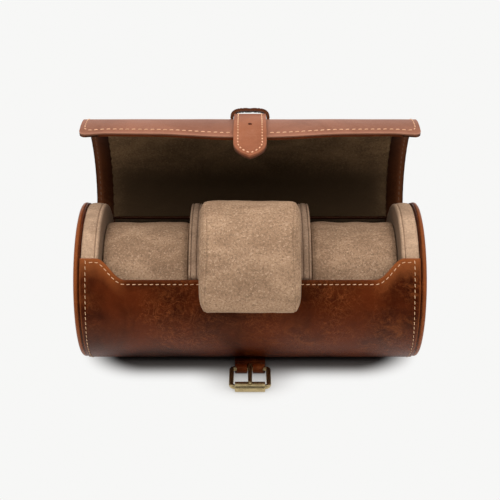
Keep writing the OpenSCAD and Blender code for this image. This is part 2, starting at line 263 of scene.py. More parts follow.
def volume6(v: Array, f: Array) -> float:
    """Six times the signed volume inside the faces: triple products of fans of triangles.

    Args:
        v: points.
        f: point numbers of each face.

    Returns:
        The sum, positive if the faces point outwards.
    """
    a, total = v[f[:, 0]], 0.0
    for k in range(1, f.shape[1] - 1):
        total += float(np.einsum("ij,ij->i", a, np.cross(v[f[:, k]], v[f[:, k + 1]])).sum())
    return total


def link(name: str, verts: Array | list, faces: list) -> bpy.types.Object:
    """Makes one object from points in metres, at the origin and smooth.

    Args:
        name: the object's name.
        verts: points.
        faces: lists of point numbers.

    Returns:
        The object, in the scene.
    """
    mesh = bpy.data.meshes.new(name)
    mesh.from_pydata(verts, [], faces)
    mesh.validate()
    mesh.polygons.foreach_set("use_smooth", np.ones(len(mesh.polygons), dtype=bool))
    obj = bpy.data.objects.new(name, mesh)
    bpy.context.scene.collection.objects.link(obj)
    return obj


def make(name: str, parts: list[Surface], smooth_deg: float) -> bpy.types.Object:
    """Makes one object from closed surfaces given in millimetres.

    Each part's faces are turned to point outwards by the sign of its volume.

    Args:
        name: the object's name.
        parts: pairs of points (n, 3) and a list of face arrays (m, 3) or (m, 4).
        smooth_deg: edges sharper than this stay crisp.

    Returns:
        The object, at the origin, with its place in its mesh.
    """
    verts, faces, start = [], [], 0
    for v, blocks in parts:
        turn = sum(volume6(v, b) for b in blocks) < 0
        verts.append(v)
        for b in blocks:
            faces += ((b[:, ::-1] if turn else b) + start).tolist()
        start += len(v)
    obj = link(name, (np.concatenate(verts) * MM).tolist(), faces)
    obj.data.set_sharp_from_angle(angle=math.radians(smooth_deg))
    obj.data.update()
    return obj


def slab(front: Array, back: Array) -> Surface:
    """Closed plate between two grids of points.

    Both grids keep their own faces, and a strip of quads joins their borders.

    Args:
        front: points of one side, (nu, nv, 3).
        back: points of the other side, the same shape.

    Returns:
        Points and face arrays.
    """
    nu, nv = front.shape[:2]
    n = nu * nv
    border = np.concatenate([np.arange(nv), np.arange(1, nu) * nv + nv - 1,
                             (nu - 1) * nv + np.arange(nv - 2, -1, -1), np.arange(nu - 2, 0, -1) * nv])
    after = np.roll(border, -1)
    f = grid_faces(nu, nv)
    return (np.concatenate([front.reshape(-1, 3), back.reshape(-1, 3)]),
            [f, f[:, ::-1] + n, np.stack([after, border, border + n, after + n], -1)])


def loft(rings: Array) -> Surface:
    """Closed surface through closed rings, with a pole at the middle of each end.

    Args:
        rings: points, (n, m, 3).

    Returns:
        Points and face arrays.
    """
    n, m = rings.shape[:2]
    v = np.concatenate([rings.reshape(-1, 3), rings[:1].mean(axis=1), rings[-1:].mean(axis=1)])
    j = np.arange(m)
    k = (j + 1) % m
    first = np.stack([np.full(m, n * m), j, k], -1)
    last = np.stack([np.full(m, n * m + 1), (n - 1) * m + k, (n - 1) * m + j], -1)
    return v, [grid_faces(n, m, True), first, last]


def torus(rings: Array) -> Surface:
    """Closed surface through closed rings, the last joined to the first.

    Args:
        rings: points, (n, m, 3).

    Returns:
        Points and face arrays.
    """
    n, m = rings.shape[:2]
    i, j = np.meshgrid(np.arange(n), np.arange(m), indexing="ij")
    i2, j2 = (i + 1) % n, (j + 1) % m
    return rings.reshape(-1, 3), [np.stack([i * m + j, i2 * m + j, i2 * m + j2, i * m + j2], -1).reshape(-1, 4)]


def tube(path: Array, radius: Array | float, side: Array, sides: int = 12, closed: bool = False,
         flat: float = 1.0) -> Surface:
    """Round bar along a path.

    Each ring is centre + r (cos a * side + flat * sin a * up), where up is the
    path's direction crossed with side.

    Args:
        path: points of the centre line, (n, 3).
        radius: one radius, or one for each point.
        side: direction across the path, not along it anywhere.
        sides: corners of each ring.
        closed: joins the last ring to the first.
        flat: height of the section over its width.

    Returns:
        Points and face arrays.
    """
    along = unit((np.roll(path, -1, 0) - np.roll(path, 1, 0)) if closed else np.gradient(path, axis=0))
    up = unit(np.cross(along, side))
    across = np.cross(up, along)
    a = np.linspace(0, TURN, sides, endpoint=False)
    r = np.broadcast_to(np.asarray(radius, dtype=float), (len(path),))[:, None, None]
    rings = path[:, None] + r * (np.cos(a)[None, :, None] * across[:, None]
                                 + flat * np.sin(a)[None, :, None] * up[:, None])
    return torus(rings) if closed else loft(rings)


def lathe(profile: Array, limit: Array, deg: Array, floor: float) -> Surface:
    """Round pad or disc about the body's axis.

    Each point of the profile turns about the axis; its radius is held to the
    limit at that angle, and nothing goes below the floor height.

    Args:
        profile: (n, 2) pairs of x and radius, from pole to pole.
        limit: (n, m) largest radius of each profile point at each angle.
        deg: (m,) angles above the front horizontal, a full turn.
        floor: lowest height.

    Returns:
        Points and face arrays.
    """
    r = np.minimum(profile[:, 1][:, None], limit)
    p = around(profile[:, 0][:, None], r, deg[None, :])
    p[..., 2] = np.maximum(p[..., 2], floor)
    return loft(p)


def walk(path: Array, normal: Array, pitch: float) -> tuple[Array, Array, Array]:
    """Evenly spaced places along a line of points.

    Args:
        path: the line, (n, 3).
        normal: outward direction at each point.
        pitch: distance wanted between places.

    Returns:
        Places, directions along the line, and outward directions.
    """
    d = np.concatenate([[0.0], np.cumsum(np.linalg.norm(np.diff(path, axis=0), axis=1))])
    n = max(2, int(round(d[-1] / pitch)))
    at = (np.arange(n) + 0.5) * d[-1] / n
    place, tangent, out = (np.stack([np.interp(at, d, a[:, k]) for k in range(3)], -1)
                           for a in (path, np.gradient(path, axis=0), normal))
    return place, unit(tangent), unit(out)


def thread(path: Array, normal: Array, pitch: float = S.pitch, radius: float = 0.21,
           part: float = 0.64) -> Surface:
    """Row of stitches along a line, each a short bar with drawn-in ends.

    A stitch is a ring profile swept along the line: its ends dip below the
    surface and it leans a little to one side, as a lock stitch does.

    Args:
        path: the seam's line on the surface.
        normal: outward direction at each point.
        pitch: distance from stitch to stitch.
        radius: the thread's radius.
        part: length of a stitch over the pitch.

    Returns:
        Points and face arrays of all the stitches.
    """
    lean, broad = 0.10, 1.15
    c, t, o = walk(path, normal, pitch)
    t = unit(t + lean * np.cross(o, t))
    b = np.cross(o, t)
    u = np.array([-0.5, -0.44, -0.2, 0.2, 0.44, 0.5]) * pitch * part
    r = radius * np.array([0.45, 0.85, 1.0, 1.0, 0.85, 0.45])
    h = radius * np.array([-0.75, -0.1, 0.35, 0.35, -0.1, -0.75])
    u, r, h = (q[None, :, None, None] for q in (u, r, h))
    c, t, o, b = (q[:, None, None] for q in (c, t, o, b))
    a = np.linspace(0, TURN, 6, endpoint=False)[None, None, :, None]
    ring = c + u * t + (h + r * np.sin(a)) * o + r * broad * np.cos(a) * b
    n = len(ring)
    v, blocks = loft(ring[0])
    ends = np.stack([ring[:, 0].mean(axis=1), ring[:, -1].mean(axis=1)], 1)
    verts = np.concatenate([ring.reshape(n, -1, 3), ends], 1).reshape(-1, 3)
    shift = (np.arange(n) * len(v))[:, None, None]
    return verts, [(block[None] + shift).reshape(-1, block.shape[1]) for block in blocks]


def ear_deg(x: Array, drop: float = 0.0) -> Array:
    """Angle of the front wall's edge: a straight middle, and ears raised by a cosine step.

    Args:
        x: places along the case.
        drop: how much lower the line lies, in millimetres.

    Returns:
        Angles above the front horizontal.
    """
    t = (1 - np.cos(HALF_TURN * np.clip((np.abs(x) - (S.ear_x - S.ear_run)) / S.ear_run, 0, 1))) / 2
    low, high = (S.body_r * math.sin(math.radians(d)) for d in (S.rim_deg, S.ear_deg))
    return np.degrees(np.arcsin((low + (high - low) * t - drop) / S.body_r))


# ---- shader writing ----------------------------------------------------------

class Val:
    """A shader socket on which arithmetic can be written."""

    def __init__(self, net: "Net", socket: bpy.types.NodeSocket) -> None:
        """Keeps the net and the socket."""
        self.net, self.socket = net, socket

    def _op(self, kind: str, *values: "Val | float") -> "Val":
        """Adds one Math node over values."""
        return self.net.node("ShaderNodeMath", {"operation": kind}, *values)

    def __add__(self, o: "Val | float") -> "Val":
        """Sum."""
        return self._op("ADD", self, o)

    def __sub__(self, o: "Val | float") -> "Val":
        """Difference."""
        return self._op("SUBTRACT", self, o)

    def __rsub__(self, o: "Val | float") -> "Val":
        """Difference from the left."""
        return self._op("SUBTRACT", o, self)

    def __mul__(self, o: "Val | float") -> "Val":
        """Product."""
        return self._op("MULTIPLY", self, o)

    def __abs__(self) -> "Val":
        """Size without its sign."""
        return self._op("ABSOLUTE", self)

    __radd__, __rmul__ = __add__, __mul__

    def ramp(self, low: float, high: float, smooth: bool = True) -> "Val":
        """Maps low..high to 0..1, held at both ends.

        Args:
            low: value that becomes 0.
            high: value that becomes 1.
            smooth: smooth step in place of a straight line.

        Returns:
            The mapped value.
        """
        kind = "SMOOTHSTEP" if smooth else "LINEAR"
        return self.net.node("ShaderNodeMapRange", {"interpolation_type": kind, "clamp": True},
                             self, low, high, 0.0, 1.0)


Input = Val | float | tuple | None


class Net:
    """The nodes of a material or of the world."""

    def __init__(self, owner: bpy.types.Material | bpy.types.World) -> None:
        """Turns the owner's nodes on."""
        owner.use_nodes = True
        self.tree = owner.node_tree

    @cached_property
    def place(self) -> Val:
        """Object coordinates."""
        return self.node("ShaderNodeTexCoord", {}, out="Object")

    def fill(self, socket: bpy.types.NodeSocket, value: Input) -> None:
        """Links a value to a socket, or stores a number or colour in it.

        Args:
            socket: the input.
            value: what goes in; None leaves it alone.
        """
        if isinstance(value, Val):
            self.tree.links.new(value.socket, socket)
        elif value is not None:
            socket.default_value = value

    def node(self, kind: str, settings: dict, *values: Input, out: int | str = 0, **named: Input) -> Val:
        """Adds a node, sets it, and fills its sockets.

        Args:
            kind: Blender's node type.
            settings: properties set before the sockets are filled.
            values: numbers, colours or links for the sockets in order.
            out: which output is returned.
            named: the same for sockets by name, with _ for each space.

        Returns:
            The output socket, wrapped.
        """
        n = self.tree.nodes.new(kind)
        for key, value in settings.items():
            setattr(n, key, value)
        for socket, value in zip([s for s in n.inputs if s.enabled], values):
            self.fill(socket, value)
        for key, value in named.items():
            self.fill(n.inputs[key.replace("_", " ")], value)
        outs = n.outputs if isinstance(out, str) else [s for s in n.outputs if s.enabled]
        return Val(self, outs[out])

    def vector(self, kind: str, *values: Input, out: int | str = 0) -> Val:
        """One Vector Math node.

        Args:
            kind: the operation.
            values: vectors.
            out: which output is returned.

        Returns:
            The result.
        """
        return self.node("ShaderNodeVectorMath", {"operation": kind}, *values, out=out)

    def mix(self, factor: "Val | float", a: "Val | tuple", b: "Val | tuple") -> Val:
        """Blends two colours.

        Args:
            factor: 0 for the first, 1 for the second.
            a: first colour.
            b: second colour.

        Returns:
            The blend.
        """
        return self.node("ShaderNodeMix", {"data_type": "RGBA"}, factor, a, b)

    def noise(self, scale: float, detail: float = 3.0, rough: float = 0.5, bend: float = 0.0,
              place: Val | None = None) -> Val:
        """Noise over the piece.

        Args:
            scale: cells in a metre.
            detail: number of finer layers.
            rough: strength of the finer layers.
            bend: warping.
            place: coordinates, the object's own if left out.

        Returns:
            Values about 0.5.
        """
        return self.node("ShaderNodeTexNoise", {}, out="Fac", Vector=place or self.place, Scale=scale,
                         Detail=detail, Roughness=rough, Distortion=bend)

    def ridge(self, scale: float, bend: float, thin: float) -> Val:
        """Thin lines where a warped noise is near its middle: 1 less a ramp of |noise - 0.5|.

        Args:
            scale: cells in a metre.
            bend: warping.
            thin: width of the lines, as a difference of the noise.

        Returns:
            1 on the lines, 0 off them.
        """
        return 1 - abs(self.noise(scale, 5, 0.62, bend) - 0.5).ramp(0.0, thin)

    def cells(self, scale: float) -> Val:
        """Distance to the edge of small cells, so many in a metre."""
        return self.node("ShaderNodeTexVoronoi", {"feature": "DISTANCE_TO_EDGE"}, out="Distance",
                         Vector=self.place, Scale=scale)

    def attribute(self, name: str) -> Val:
        """The piece's own value of that name."""
        return self.node("ShaderNodeAttribute", {"attribute_name": name}, out="Fac")

    def bump(self, height: Val, strength: float, distance: float, under: Val | None = None) -> Val:
        """Normals from a height.

        Args:
            height: the height's pattern.
            strength: 0 to 1.
            distance: the height's size, in metres.
            under: normals of a coarser bump.

        Returns:
            Normals.
        """
        return self.node("ShaderNodeBump", {}, out="Normal", Strength=strength, Distance=distance,
                         Height=height, Normal=under)

    def dress(self, **sockets: Input) -> None:
        """Fills the sockets of the material's shader, named with _ for each space."""
        for key, value in sockets.items():
            self.fill(self.tree.nodes["Principled BSDF"].inputs[key.replace("_", " ")], value)


# ---- finishes ----------------------------------------------------------------

def rgba(c: RGB, part: float = 1.0) -> tuple[float, float, float, float]:
    """Colour with full alpha, darkened to a part of itself."""
    return (*(part * v for v in c), 1.0)


@dataclass(frozen=True)
class Finish:
    """A named finish; each kind writes its own nodes."""

    name: str

    def build(self) -> bpy.types.Material:
        """Makes the material.

        Returns:
            The material.
        """
        material = bpy.data.materials.new(self.name)
        self.write(Net(material))
        return material

    def write(self, n: Net) -> None:
        """Writes the nodes into a net."""
        raise NotImplementedError


@dataclass(frozen=True)
class Leather(Finish):
    """Waxed pull-up leather: mottled, crackled, with a fine grain."""

    dark: RGB
    mid: RGB
    light: RGB
    gloss: float = 0.40
    mottle: float = 1.0
    crackle: float = 1.0
    specular: float = 0.40
    shine: RGB = (1.0, 0.45, 0.20)

    def write(self, n: Net) -> None:
        """Mixes the leather.

        Broad clouds mix dark and mid, the level lines of two warped noises draw
        fine lighter wrinkles, stronger in some patches, and small cells give the
        pores. Lighter marks stand for wear and painted highlights, darker marks
        for dark edges and painted shade.

        Args:
            n: the net to write in.
        """
        light = rgba(self.light)
        base = n.mix(n.noise(24, 5, 0.6, 0.6).ramp(0.34, 0.68), rgba(self.dark), rgba(self.mid))
        veil = n.noise(85, 6, 0.65, 1.0).ramp(0.50, 0.80) * n.noise(16, 3, 0.5).ramp(0.38, 0.72)
        base = n.mix(veil * (0.6 * self.mottle), base, light)
        patch = n.noise(34, 4, 0.6).ramp(0.38, 0.68)
        crack = n.ridge(72, 1.8, 0.024) * (0.2 + 0.8 * patch) * 0.6 + n.ridge(230, 1.1, 0.045) * patch * 0.5
        base = n.mix(crack * (0.62 * self.crackle), base, light)
        speck = n.noise(1100, 3, 0.65)
        base = n.mix(speck.ramp(0.50, 0.78) * 0.30, base, rgba(self.dark))
        # lighter where marked: wear, and painted highlights on some pieces
        base = n.mix(n.attribute("worn") * (0.45 + 0.35 * n.noise(260, 4, 0.6)), base, light)
        # darker where marked: dark edges, and painted shade on some pieces
        base = n.mix(n.attribute("edge") * 0.8, base, rgba(self.dark, 0.42))
        wrinkled = n.bump(crack, 0.30 * self.crackle, 0.0003)
        grain = n.cells(1350).ramp(0.0, 0.12) + n.noise(2600, 3, 0.6) * 0.6
        n.dress(Base_Color=base, Roughness=self.gloss + 0.16 * n.noise(45, 4, 0.6) + 0.10 * speck - 0.12,
                Normal=n.bump(grain, 0.20, 0.00016, wrinkled), Specular_IOR_Level=self.specular,
                Specular_Tint=rgba(self.shine))


@dataclass(frozen=True)
class Suede(Finish):
    """Short-napped suede with brushed patches."""

    dark: RGB
    mid: RGB
    light: RGB
    nap: float = 1.0
    sheen: float = 0.10

    def write(self, n: Net) -> None:
        """Mixes brushed clouds, fine fibre flecks and a soft pile; marked places get painted shade.

        Args:
            n: the net to write in.
        """
        brushed = n.noise(44, 5, 0.62, 0.8, n.vector("MULTIPLY", n.place, (0.75, 1.3, 1.3)))
        base = n.mix(brushed.ramp(0.34, 0.66), rgba(self.dark), rgba(self.mid))
        fleck = n.noise(700, 6, 0.8, 0.3).ramp(0.48, 0.72)
        base = n.mix(fleck * (0.50 * self.nap), base, rgba(self.light))
        deep = 1 - n.noise(820, 5, 0.8).ramp(0.34, 0.54)
        base = n.mix(deep * (0.55 * self.nap), base, rgba(self.dark, 0.55))
        # painted shade where marked
        base = n.mix(n.attribute("edge") * 0.55, base, rgba(self.dark, 0.40))
        uneven = n.bump(n.noise(240, 4, 0.65), 0.35 * self.nap, 0.0005)
        n.dress(Base_Color=base, Roughness=0.96, Specular_IOR_Level=0.10,
                Normal=n.bump(n.noise(1100, 4, 0.7), 0.35 * self.nap, 0.0003, uneven),
                Sheen_Weight=self.sheen, Sheen_Roughness=0.5, Sheen_Tint=rgba(self.light))


@dataclass(frozen=True)
class AntiqueBrass(Finish):
    """Brass with brown patina, polished bright where it is handled."""

    patina: RGB
    metal: RGB

    def write(self, n: Net) -> None:
        """Mixes clouds of patina over satin metal.

        Args:
            n: the net to write in.
        """
        cloud = n.noise(260, 4, 0.6, 0.4).ramp(0.34, 0.56)
        base = n.mix(cloud * 0.35 + 0.60, rgba(self.patina), rgba(self.metal))
        base = n.mix(n.attribute("edge") * 0.8, base, rgba(self.patina, 0.3))
        n.dress(Base_Color=base, Roughness=0.46 - 0.10 * cloud + 0.06 * n.noise(1800, 3, 0.6), Metallic=1.0,
                Normal=n.bump(n.noise(500, 2, 0.5), 0.008, 0.0001))


@dataclass(frozen=True)
class Thread(Finish):
    """Waxed sewing thread."""

    colour: RGB
    soiled: RGB

    def write(self, n: Net) -> None:
        """Mixes slight soiling and a fine twist."""
        base = n.mix(n.noise(140, 3, 0.6).ramp(0.40, 0.72), rgba(self.colour), rgba(self.soiled))
        n.dress(Base_Color=base, Roughness=0.62, Normal=n.bump(n.noise(4200, 2, 0.5), 0.35, 0.0001))


@dataclass(frozen=True)
class Plain(Finish):
    """Pressed board or open foam, where it is seen at all."""

    dark: RGB
    light: RGB
    scale: float

    def write(self, n: Net) -> None:
        """Mixes flecks of fibre or cells."""
        n.dress(Base_Color=n.mix(n.noise(self.scale, 5, 0.7), rgba(self.dark), rgba(self.light)), Roughness=0.9,
                Normal=n.bump(n.noise(self.scale * 2, 4, 0.7), 0.4, 0.0003))


class Finishes:
    """The finishes of the case, for the record's material slots and their kin."""

    TABLE = (
        Leather("body_leather", (0.029, 0.0030, 0.0006), (0.092, 0.0138, 0.0024), (0.30, 0.080, 0.020),
                specular=0.36, crackle=0.8),
        Leather("lid_leather", (0.20, 0.074, 0.042), (0.295, 0.118, 0.070), (0.42, 0.20, 0.13),
                gloss=0.50, mottle=0.8, crackle=0.45, specular=0.30),
        Leather("strap_leather", (0.215, 0.066, 0.030), (0.325, 0.112, 0.054), (0.43, 0.19, 0.115),
                gloss=0.50, crackle=0.5, specular=0.30),
        Leather("backing_leather", (0.070, 0.023, 0.013), (0.115, 0.042, 0.024), (0.18, 0.08, 0.05),
                gloss=0.55, crackle=0.3, specular=0.25),
        Leather("edge_leather", (0.030, 0.010, 0.005), (0.060, 0.019, 0.009), (0.13, 0.045, 0.022),
                gloss=0.50, crackle=0.4, specular=0.25),
        Leather("facing_leather", (0.06, 0.012, 0.0035), (0.11, 0.024, 0.007), (0.22, 0.065, 0.022),
                gloss=0.6, crackle=0.3, specular=0.12),
        Leather("margin_leather", (0.034, 0.009, 0.003), (0.070, 0.019, 0.006), (0.20, 0.068, 0.028),
                gloss=0.62, crackle=0.3, specular=0.12),
        Suede("cushion_suede", (0.285, 0.172, 0.102), (0.42, 0.265, 0.162), (0.72, 0.50, 0.34), nap=1.45),
        # near black: a darker copy of the lid's lining suede, painted shade inside the body and on the hinge's
        # fold
        Suede("lining_suede", (0.018, 0.011, 0.006), (0.032, 0.021, 0.011), (0.07, 0.046, 0.026), sheen=0.02),
        Suede("lid_suede", (0.099, 0.058, 0.028), (0.168, 0.100, 0.049), (0.33, 0.208, 0.106), sheen=0.03),
        Suede("trim_suede", (0.39, 0.25, 0.16), (0.55, 0.36, 0.235), (0.80, 0.58, 0.41)),
        # a darker copy of the trim suede: painted shade on the dividers
        Suede("divider_suede", (0.26, 0.165, 0.105), (0.38, 0.245, 0.16), (0.60, 0.43, 0.30)),
        Plain("board", (0.30, 0.22, 0.13), (0.50, 0.40, 0.27), 800.0),
        Plain("foam", (0.62, 0.58, 0.50), (0.80, 0.77, 0.70), 1400.0),
        AntiqueBrass("antique_brass", (0.30, 0.222, 0.108), (0.585, 0.46, 0.245)),
        Thread("thread", (0.66, 0.40, 0.225), (0.50, 0.28, 0.14)),
        Thread("pale_thread", (0.82, 0.49, 0.30), (0.62, 0.35, 0.20)),
        Thread("dark_thread", (0.15, 0.075, 0.038), (0.09, 0.042, 0.02)),
    )

    # the record's slot for each finish that has no slot of its own
    KIN = {
        "margin_leather": "edge_leather", "facing_leather": "edge_leather", "backing_leather": "edge_leather",
        "strap_leather": "lid_leather", "lid_suede": "lining_suede", "divider_suede": "trim_suede",
        "pale_thread": "thread", "dark_thread": "thread",
    }

    def __init__(self) -> None:
        """Builds every finish."""
        self.made = {finish.name: finish.build() for finish in self.TABLE}

    def dress(self, obj: bpy.types.Object, slot: str) -> None:
        """Gives a piece its finish.

        Args:
            obj: the piece.
            slot: the finish's name.
        """
        obj.data.materials.clear()
        obj.data.materials.append(self.made[slot])

    def dress_nodes(self, slots: dict[str, str]) -> None:
        """Gives each CAD node the finish of its own slot.

        Args:
            slots: the record's slot for each node.
        """
        for node, slot in slots.items():
            obj = frame["nodes"][node]
            if obj.material_slots:
                for s in obj.material_slots:
                    s.material = self.made[slot]
            else:
                obj.data.materials.append(self.made[slot])


@dataclass(frozen=True)
class Bend:
    """A piece's place between two bodies: where it leaves one and has joined the other, in millimetres."""

    pair: tuple[Body, Body]
    ends: tuple[Array, Array]


@dataclass
class Workshop:
    """Makes pieces and finishes them: modifiers, painted wear, highlights and shade, riding and replaced nodes.
    """

    finishes: Finishes

    def bevel(self, obj: bpy.types.Object, width: float, segments: int = 2, angle: float = 40.0) -> None:
        """Rounds sharp edges.

        Args:
            obj: the piece.
            width: of the rounding, in millimetres.
            segments: faces across it.
            angle: edges sharper than this are rounded.
        """
        m = obj.modifiers.new("Eased edges", "BEVEL")
        m.width, m.segments, m.limit_method = width * MM, segments, "ANGLE"
        m.angle_limit, m.harden_normals = math.radians(angle), False

    def paint(self, obj: bpy.types.Object, name: str, value: Array) -> None:
        """Stores a value at each point for the finish to read, from 0, mostly to 1.

        Args:
            obj: the piece.
            name: edge for darker places, from dark edges and painted shade, or the other mark for lighter
                places, from wear and painted highlights.
            value: one for each of the first points; the others get 0.
        """
        full = np.zeros(len(obj.data.vertices), dtype=np.float32)
        full[:value.size] = value.ravel()
        obj.data.attributes.new(name, "FLOAT", "POINT").data.foreach_set("value", full)

    def ready(self, obj: bpy.types.Object, on: Body | Bend, slot: str, *replaced: str) -> None:
        """Dresses a piece, attaches it to the body it rides on, and hides what it stands for; a piece given a
        Bend is attached to no body, only its place is applied.

        Args:
            obj: the piece.
            on: the body it rides on, or a Bend, whose ends are not used.
            slot: its finish.
            replaced: CAD nodes it stands for.
        """
        self.finishes.dress(obj, slot)
        if isinstance(on, Body):
            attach(obj, on.value)
        else:
            tuple(on.ends[0] * MM)
            tuple(on.ends[1] * MM)
            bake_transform(obj)
        if replaced:
            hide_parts(*replaced)
        LOG.info("%s: %d faces, %s", obj.name, len(obj.data.polygons), slot)

    def piece(self, name: str, surfaces: list[Surface], on: Body | Bend, slot: str, *replaced: str,
              crisp: float = 40.0, bevel: tuple = (), **painted: Array) -> bpy.types.Object:
        """Makes one whole piece.

        Args:
            name: its name.
            surfaces: closed surfaces in millimetres.
            on: the body it rides on, or a Bend, whose ends are not used.
            slot: its finish.
            replaced: CAD nodes it stands for.
            crisp: edges sharper than this stay crisp.
            bevel: width, segments and angle of its eased edges, if any.
            painted: the darker and the lighter mark, one value for each point.

        Returns:
            The piece.
        """
        obj = make(name, surfaces, crisp)
        for key, value in painted.items():
            self.paint(obj, key, value)
        if bevel:
            self.bevel(obj, *bevel)
        self.ready(obj, on, slot, *replaced)
        return obj


# ---- the body ----------------------------------------------------------------

@dataclass
class TubeBody:
    """Leather-covered tube with padded ends and two dividers."""

    shop: Workshop
    rows: int = 120
    wrap_end: float = -(180 + 25.3)
    board_end: float = -(180 + 24.4)
    tuck: float = 0.55
    # where the lighter band under the front edge, wear and a painted highlight, starts to grow towards the
    # ears, and over how far
    worn_x: float = 72.0
    worn_run: float = 14.0
    seam_in: float = 1.95
    side_seam_in: float = 3.5
    round_r: float = 49.6
    piping_x: float = 104.2
    piping_r: float = 48.7
    piping: float = 0.9
    low: float = 1.75
    columns: int = 180

    @property
    def turn(self) -> Array:
        """Angles once round the case, in degrees."""
        return np.linspace(0, 360, self.columns, endpoint=False)

    def xs(self, half: float) -> Array:
        """Places along the case, closer together where the front edge curves.

        Args:
            half: the furthest place.

        Returns:
            The places, from left to right.
        """
        flat = S.ear_x - S.ear_run
        side = np.concatenate([np.linspace(0, flat, 40), np.linspace(flat, S.ear_x, 22)[1:],
                               np.linspace(S.ear_x, half, 10)[1:]])
        return mirrored(side[side <= half])

    def wall(self, r: float, x: Array, drop: float, back_deg: float) -> Array:
        """Grid over the wall at one radius, from its front edge to its back edge.

        The places round it, v + 0.10 sin(2 pi v) / 2 pi, are a little closer at the
        front, and nothing goes below the flattened underside.

        Args:
            r: radius.
            x: places along the case.
            drop: how far under the front line it starts.
            back_deg: angle of the back edge.

        Returns:
            Points, (len(x), rows, 3).
        """
        v = np.linspace(0, 1, self.rows)
        v = v + 0.10 * np.sin(TURN * v) / TURN
        top = ear_deg(x, drop)[:, None]
        p = around(x[:, None], np.full_like(v, r)[None, :], top + (back_deg - top) * v[None, :])
        p[..., 2] = np.maximum(p[..., 2], S.body_r - r)
        return p

    def lip(self, x: Array, radius: float) -> Array:
        """Grid over the turned-in front edge.

        Half a circle of the given radius, r = c + radius cos t and arc = radius sin t
        over the wall, for t from the inside round to the outside.

        Args:
            x: places along the case.
            radius: of the half circle.

        Returns:
            Points, (len(x), 15, 3).
        """
        t = np.linspace(1.15 * HALF_TURN, 0, 16)[None, :-1]
        top = ear_deg(x, -self.tuck)[:, None] - math.degrees(S.lip / S.body_r)
        return around(x[:, None], S.body_r - S.lip + radius * np.cos(t),
                      top + np.degrees(radius * np.sin(t) / S.body_r))

    def leather(self) -> None:
        """The outer wrap: a plate bent round the tube, gently uneven, turned in over the front edge, lighter
        below that edge and at its ends for wear and a painted highlight, darker on its inside face.
        """
        x = self.xs(S.body_half)
        outer, inner = (self.wall(r, x, S.lip - self.tuck, self.wrap_end)
                        for r in (S.body_r, S.body_r - S.leather_t))
        sunk = 0.10 + 0.10 * ripple(outer, 38, 4) + 0.05 * ripple(outer, 13, 9)
        fade = ease(np.arange(self.rows) / 6.0)[None, :] * (outer[..., 2] > 0.6)
        outer = outer - unit(outward(outer, AXIS)) * (sunk * fade)[..., None]
        outer = np.concatenate([self.lip(x, S.lip), outer], 1)
        inner = np.concatenate([self.lip(x, S.lip - S.leather_t), inner], 1)
        # lighter below the front edge, most at the ears, and along both ends: wear and a painted highlight; the
        # inside face is marked darker
        worn = np.zeros(outer.shape[:2])
        rub_and_highlight = 0.08 + 1.10 * ease((np.abs(x) - self.worn_x) / self.worn_run)
        worn[:, 3:22] = np.sin(np.linspace(0, HALF_TURN, 19))[None] * rub_and_highlight[:, None]
        worn[np.abs(x) > S.body_half - 0.8] = 0.8
        self.shop.piece("Body_Leather", [slab(outer, inner)], Body.CASE, "body_leather", "body_leather",
                        bevel=(0.35, 2, 60), edge=np.repeat([0.0, 1.0], outer.size // 3), worn=worn)

    def lining(self) -> None:
        """Suede-covered board inside the wrap, tucked under its turned-in edge; its near-black suede is painted
        shade.
        """
        x = self.xs(S.block_in - 0.1)
        outer = self.wall(S.body_r - S.leather_t - 0.05, x, 2.9, self.board_end)
        inner = self.wall(S.inner_r, x, 2.6, self.board_end)
        self.shop.piece("Body_Lining", [slab(outer, inner)], Body.CASE, "lining_suede",
                        "body_board", "body_lining", bevel=(0.5,))

    def seams(self) -> None:
        """Stitches inside the front edge, square to its slope, and round both ends."""
        x = self.xs(S.body_half - 2.6)
        top = ear_deg(x)
        slope = np.gradient(S.body_r * np.sin(np.radians(top)), x)
        k = self.seam_in / np.sqrt(1 + slope ** 2)
        r = S.body_r - 0.05
        p = around(x + k * slope, np.full_like(x, r), top - np.degrees(k / S.body_r) * 1.15)
        p = p[np.abs(p[:, 0]) < S.body_half - 4.6]
        parts = [thread(p, outward(p, AXIS))]
        for side in Side:
            for a0, a1 in ((S.ear_deg - 0.4, -70.0), (-110.0, -200.0)):
                deg = np.linspace(a0, a1, 80)
                x = side.value * (S.body_half - self.side_seam_in + 1.6 * ease((18 - deg) / 60))
                p = around(x, np.full_like(deg, r), deg)
                parts.append(thread(p, outward(p, AXIS)))
        self.shop.piece("Body_Stitching", parts, Body.CASE, "thread", "front_stitching")

    def wall_limit(self, ear: float) -> Array:
        """Where the wall stands beside a disc.

        Args:
            ear: angle of the wall's front edge there.

        Returns:
            1 beside the wall and 0 above its edges, for each angle of the turn.
        """
        a = (self.turn + 180.0) % 360.0 - 180.0
        lean = np.where(a >= 90, 180 - a, -(180 + a))
        return np.where(np.abs(a) < 90, ease((ear + 2.0 - a) / 2.0), ease((31.5 - lean) / 2.0))

    def block(self, side: Side) -> None:
        """Padded suede block in one end, with a seam round its lip; painted shade lies in the seam and over the
        face towards the compartment.

        Args:
            side: which end.
        """
        prof = np.array([
            (92.30, 0.5), (92.22, 15), (92.14, 30), (92.10, 42), (92.12, 45.6), (92.26, 47.1), (92.6, 48.1),
            (93.1, 48.7), (93.7, 48.98), (94.3, 49.02), (94.6, 48.85), (94.74, 48.3), (94.82, 48.3),
            (94.96, 48.9), (95.6, 49.3), (97.6, 49.55), (100.0, 49.6), (101.8, 49.4), (102.8, 49.0),
            (103.3, 48.2), (103.42, 47.2), (103.42, 20), (103.42, 0.5)])
        free, wall = 49.8, self.wall_limit(S.ear_deg)[None, :]
        near = (prof[:, 0] < S.block_in)[:, None]
        limit = free - np.where(near, free - (S.inner_r - 0.15), 0.65) * wall
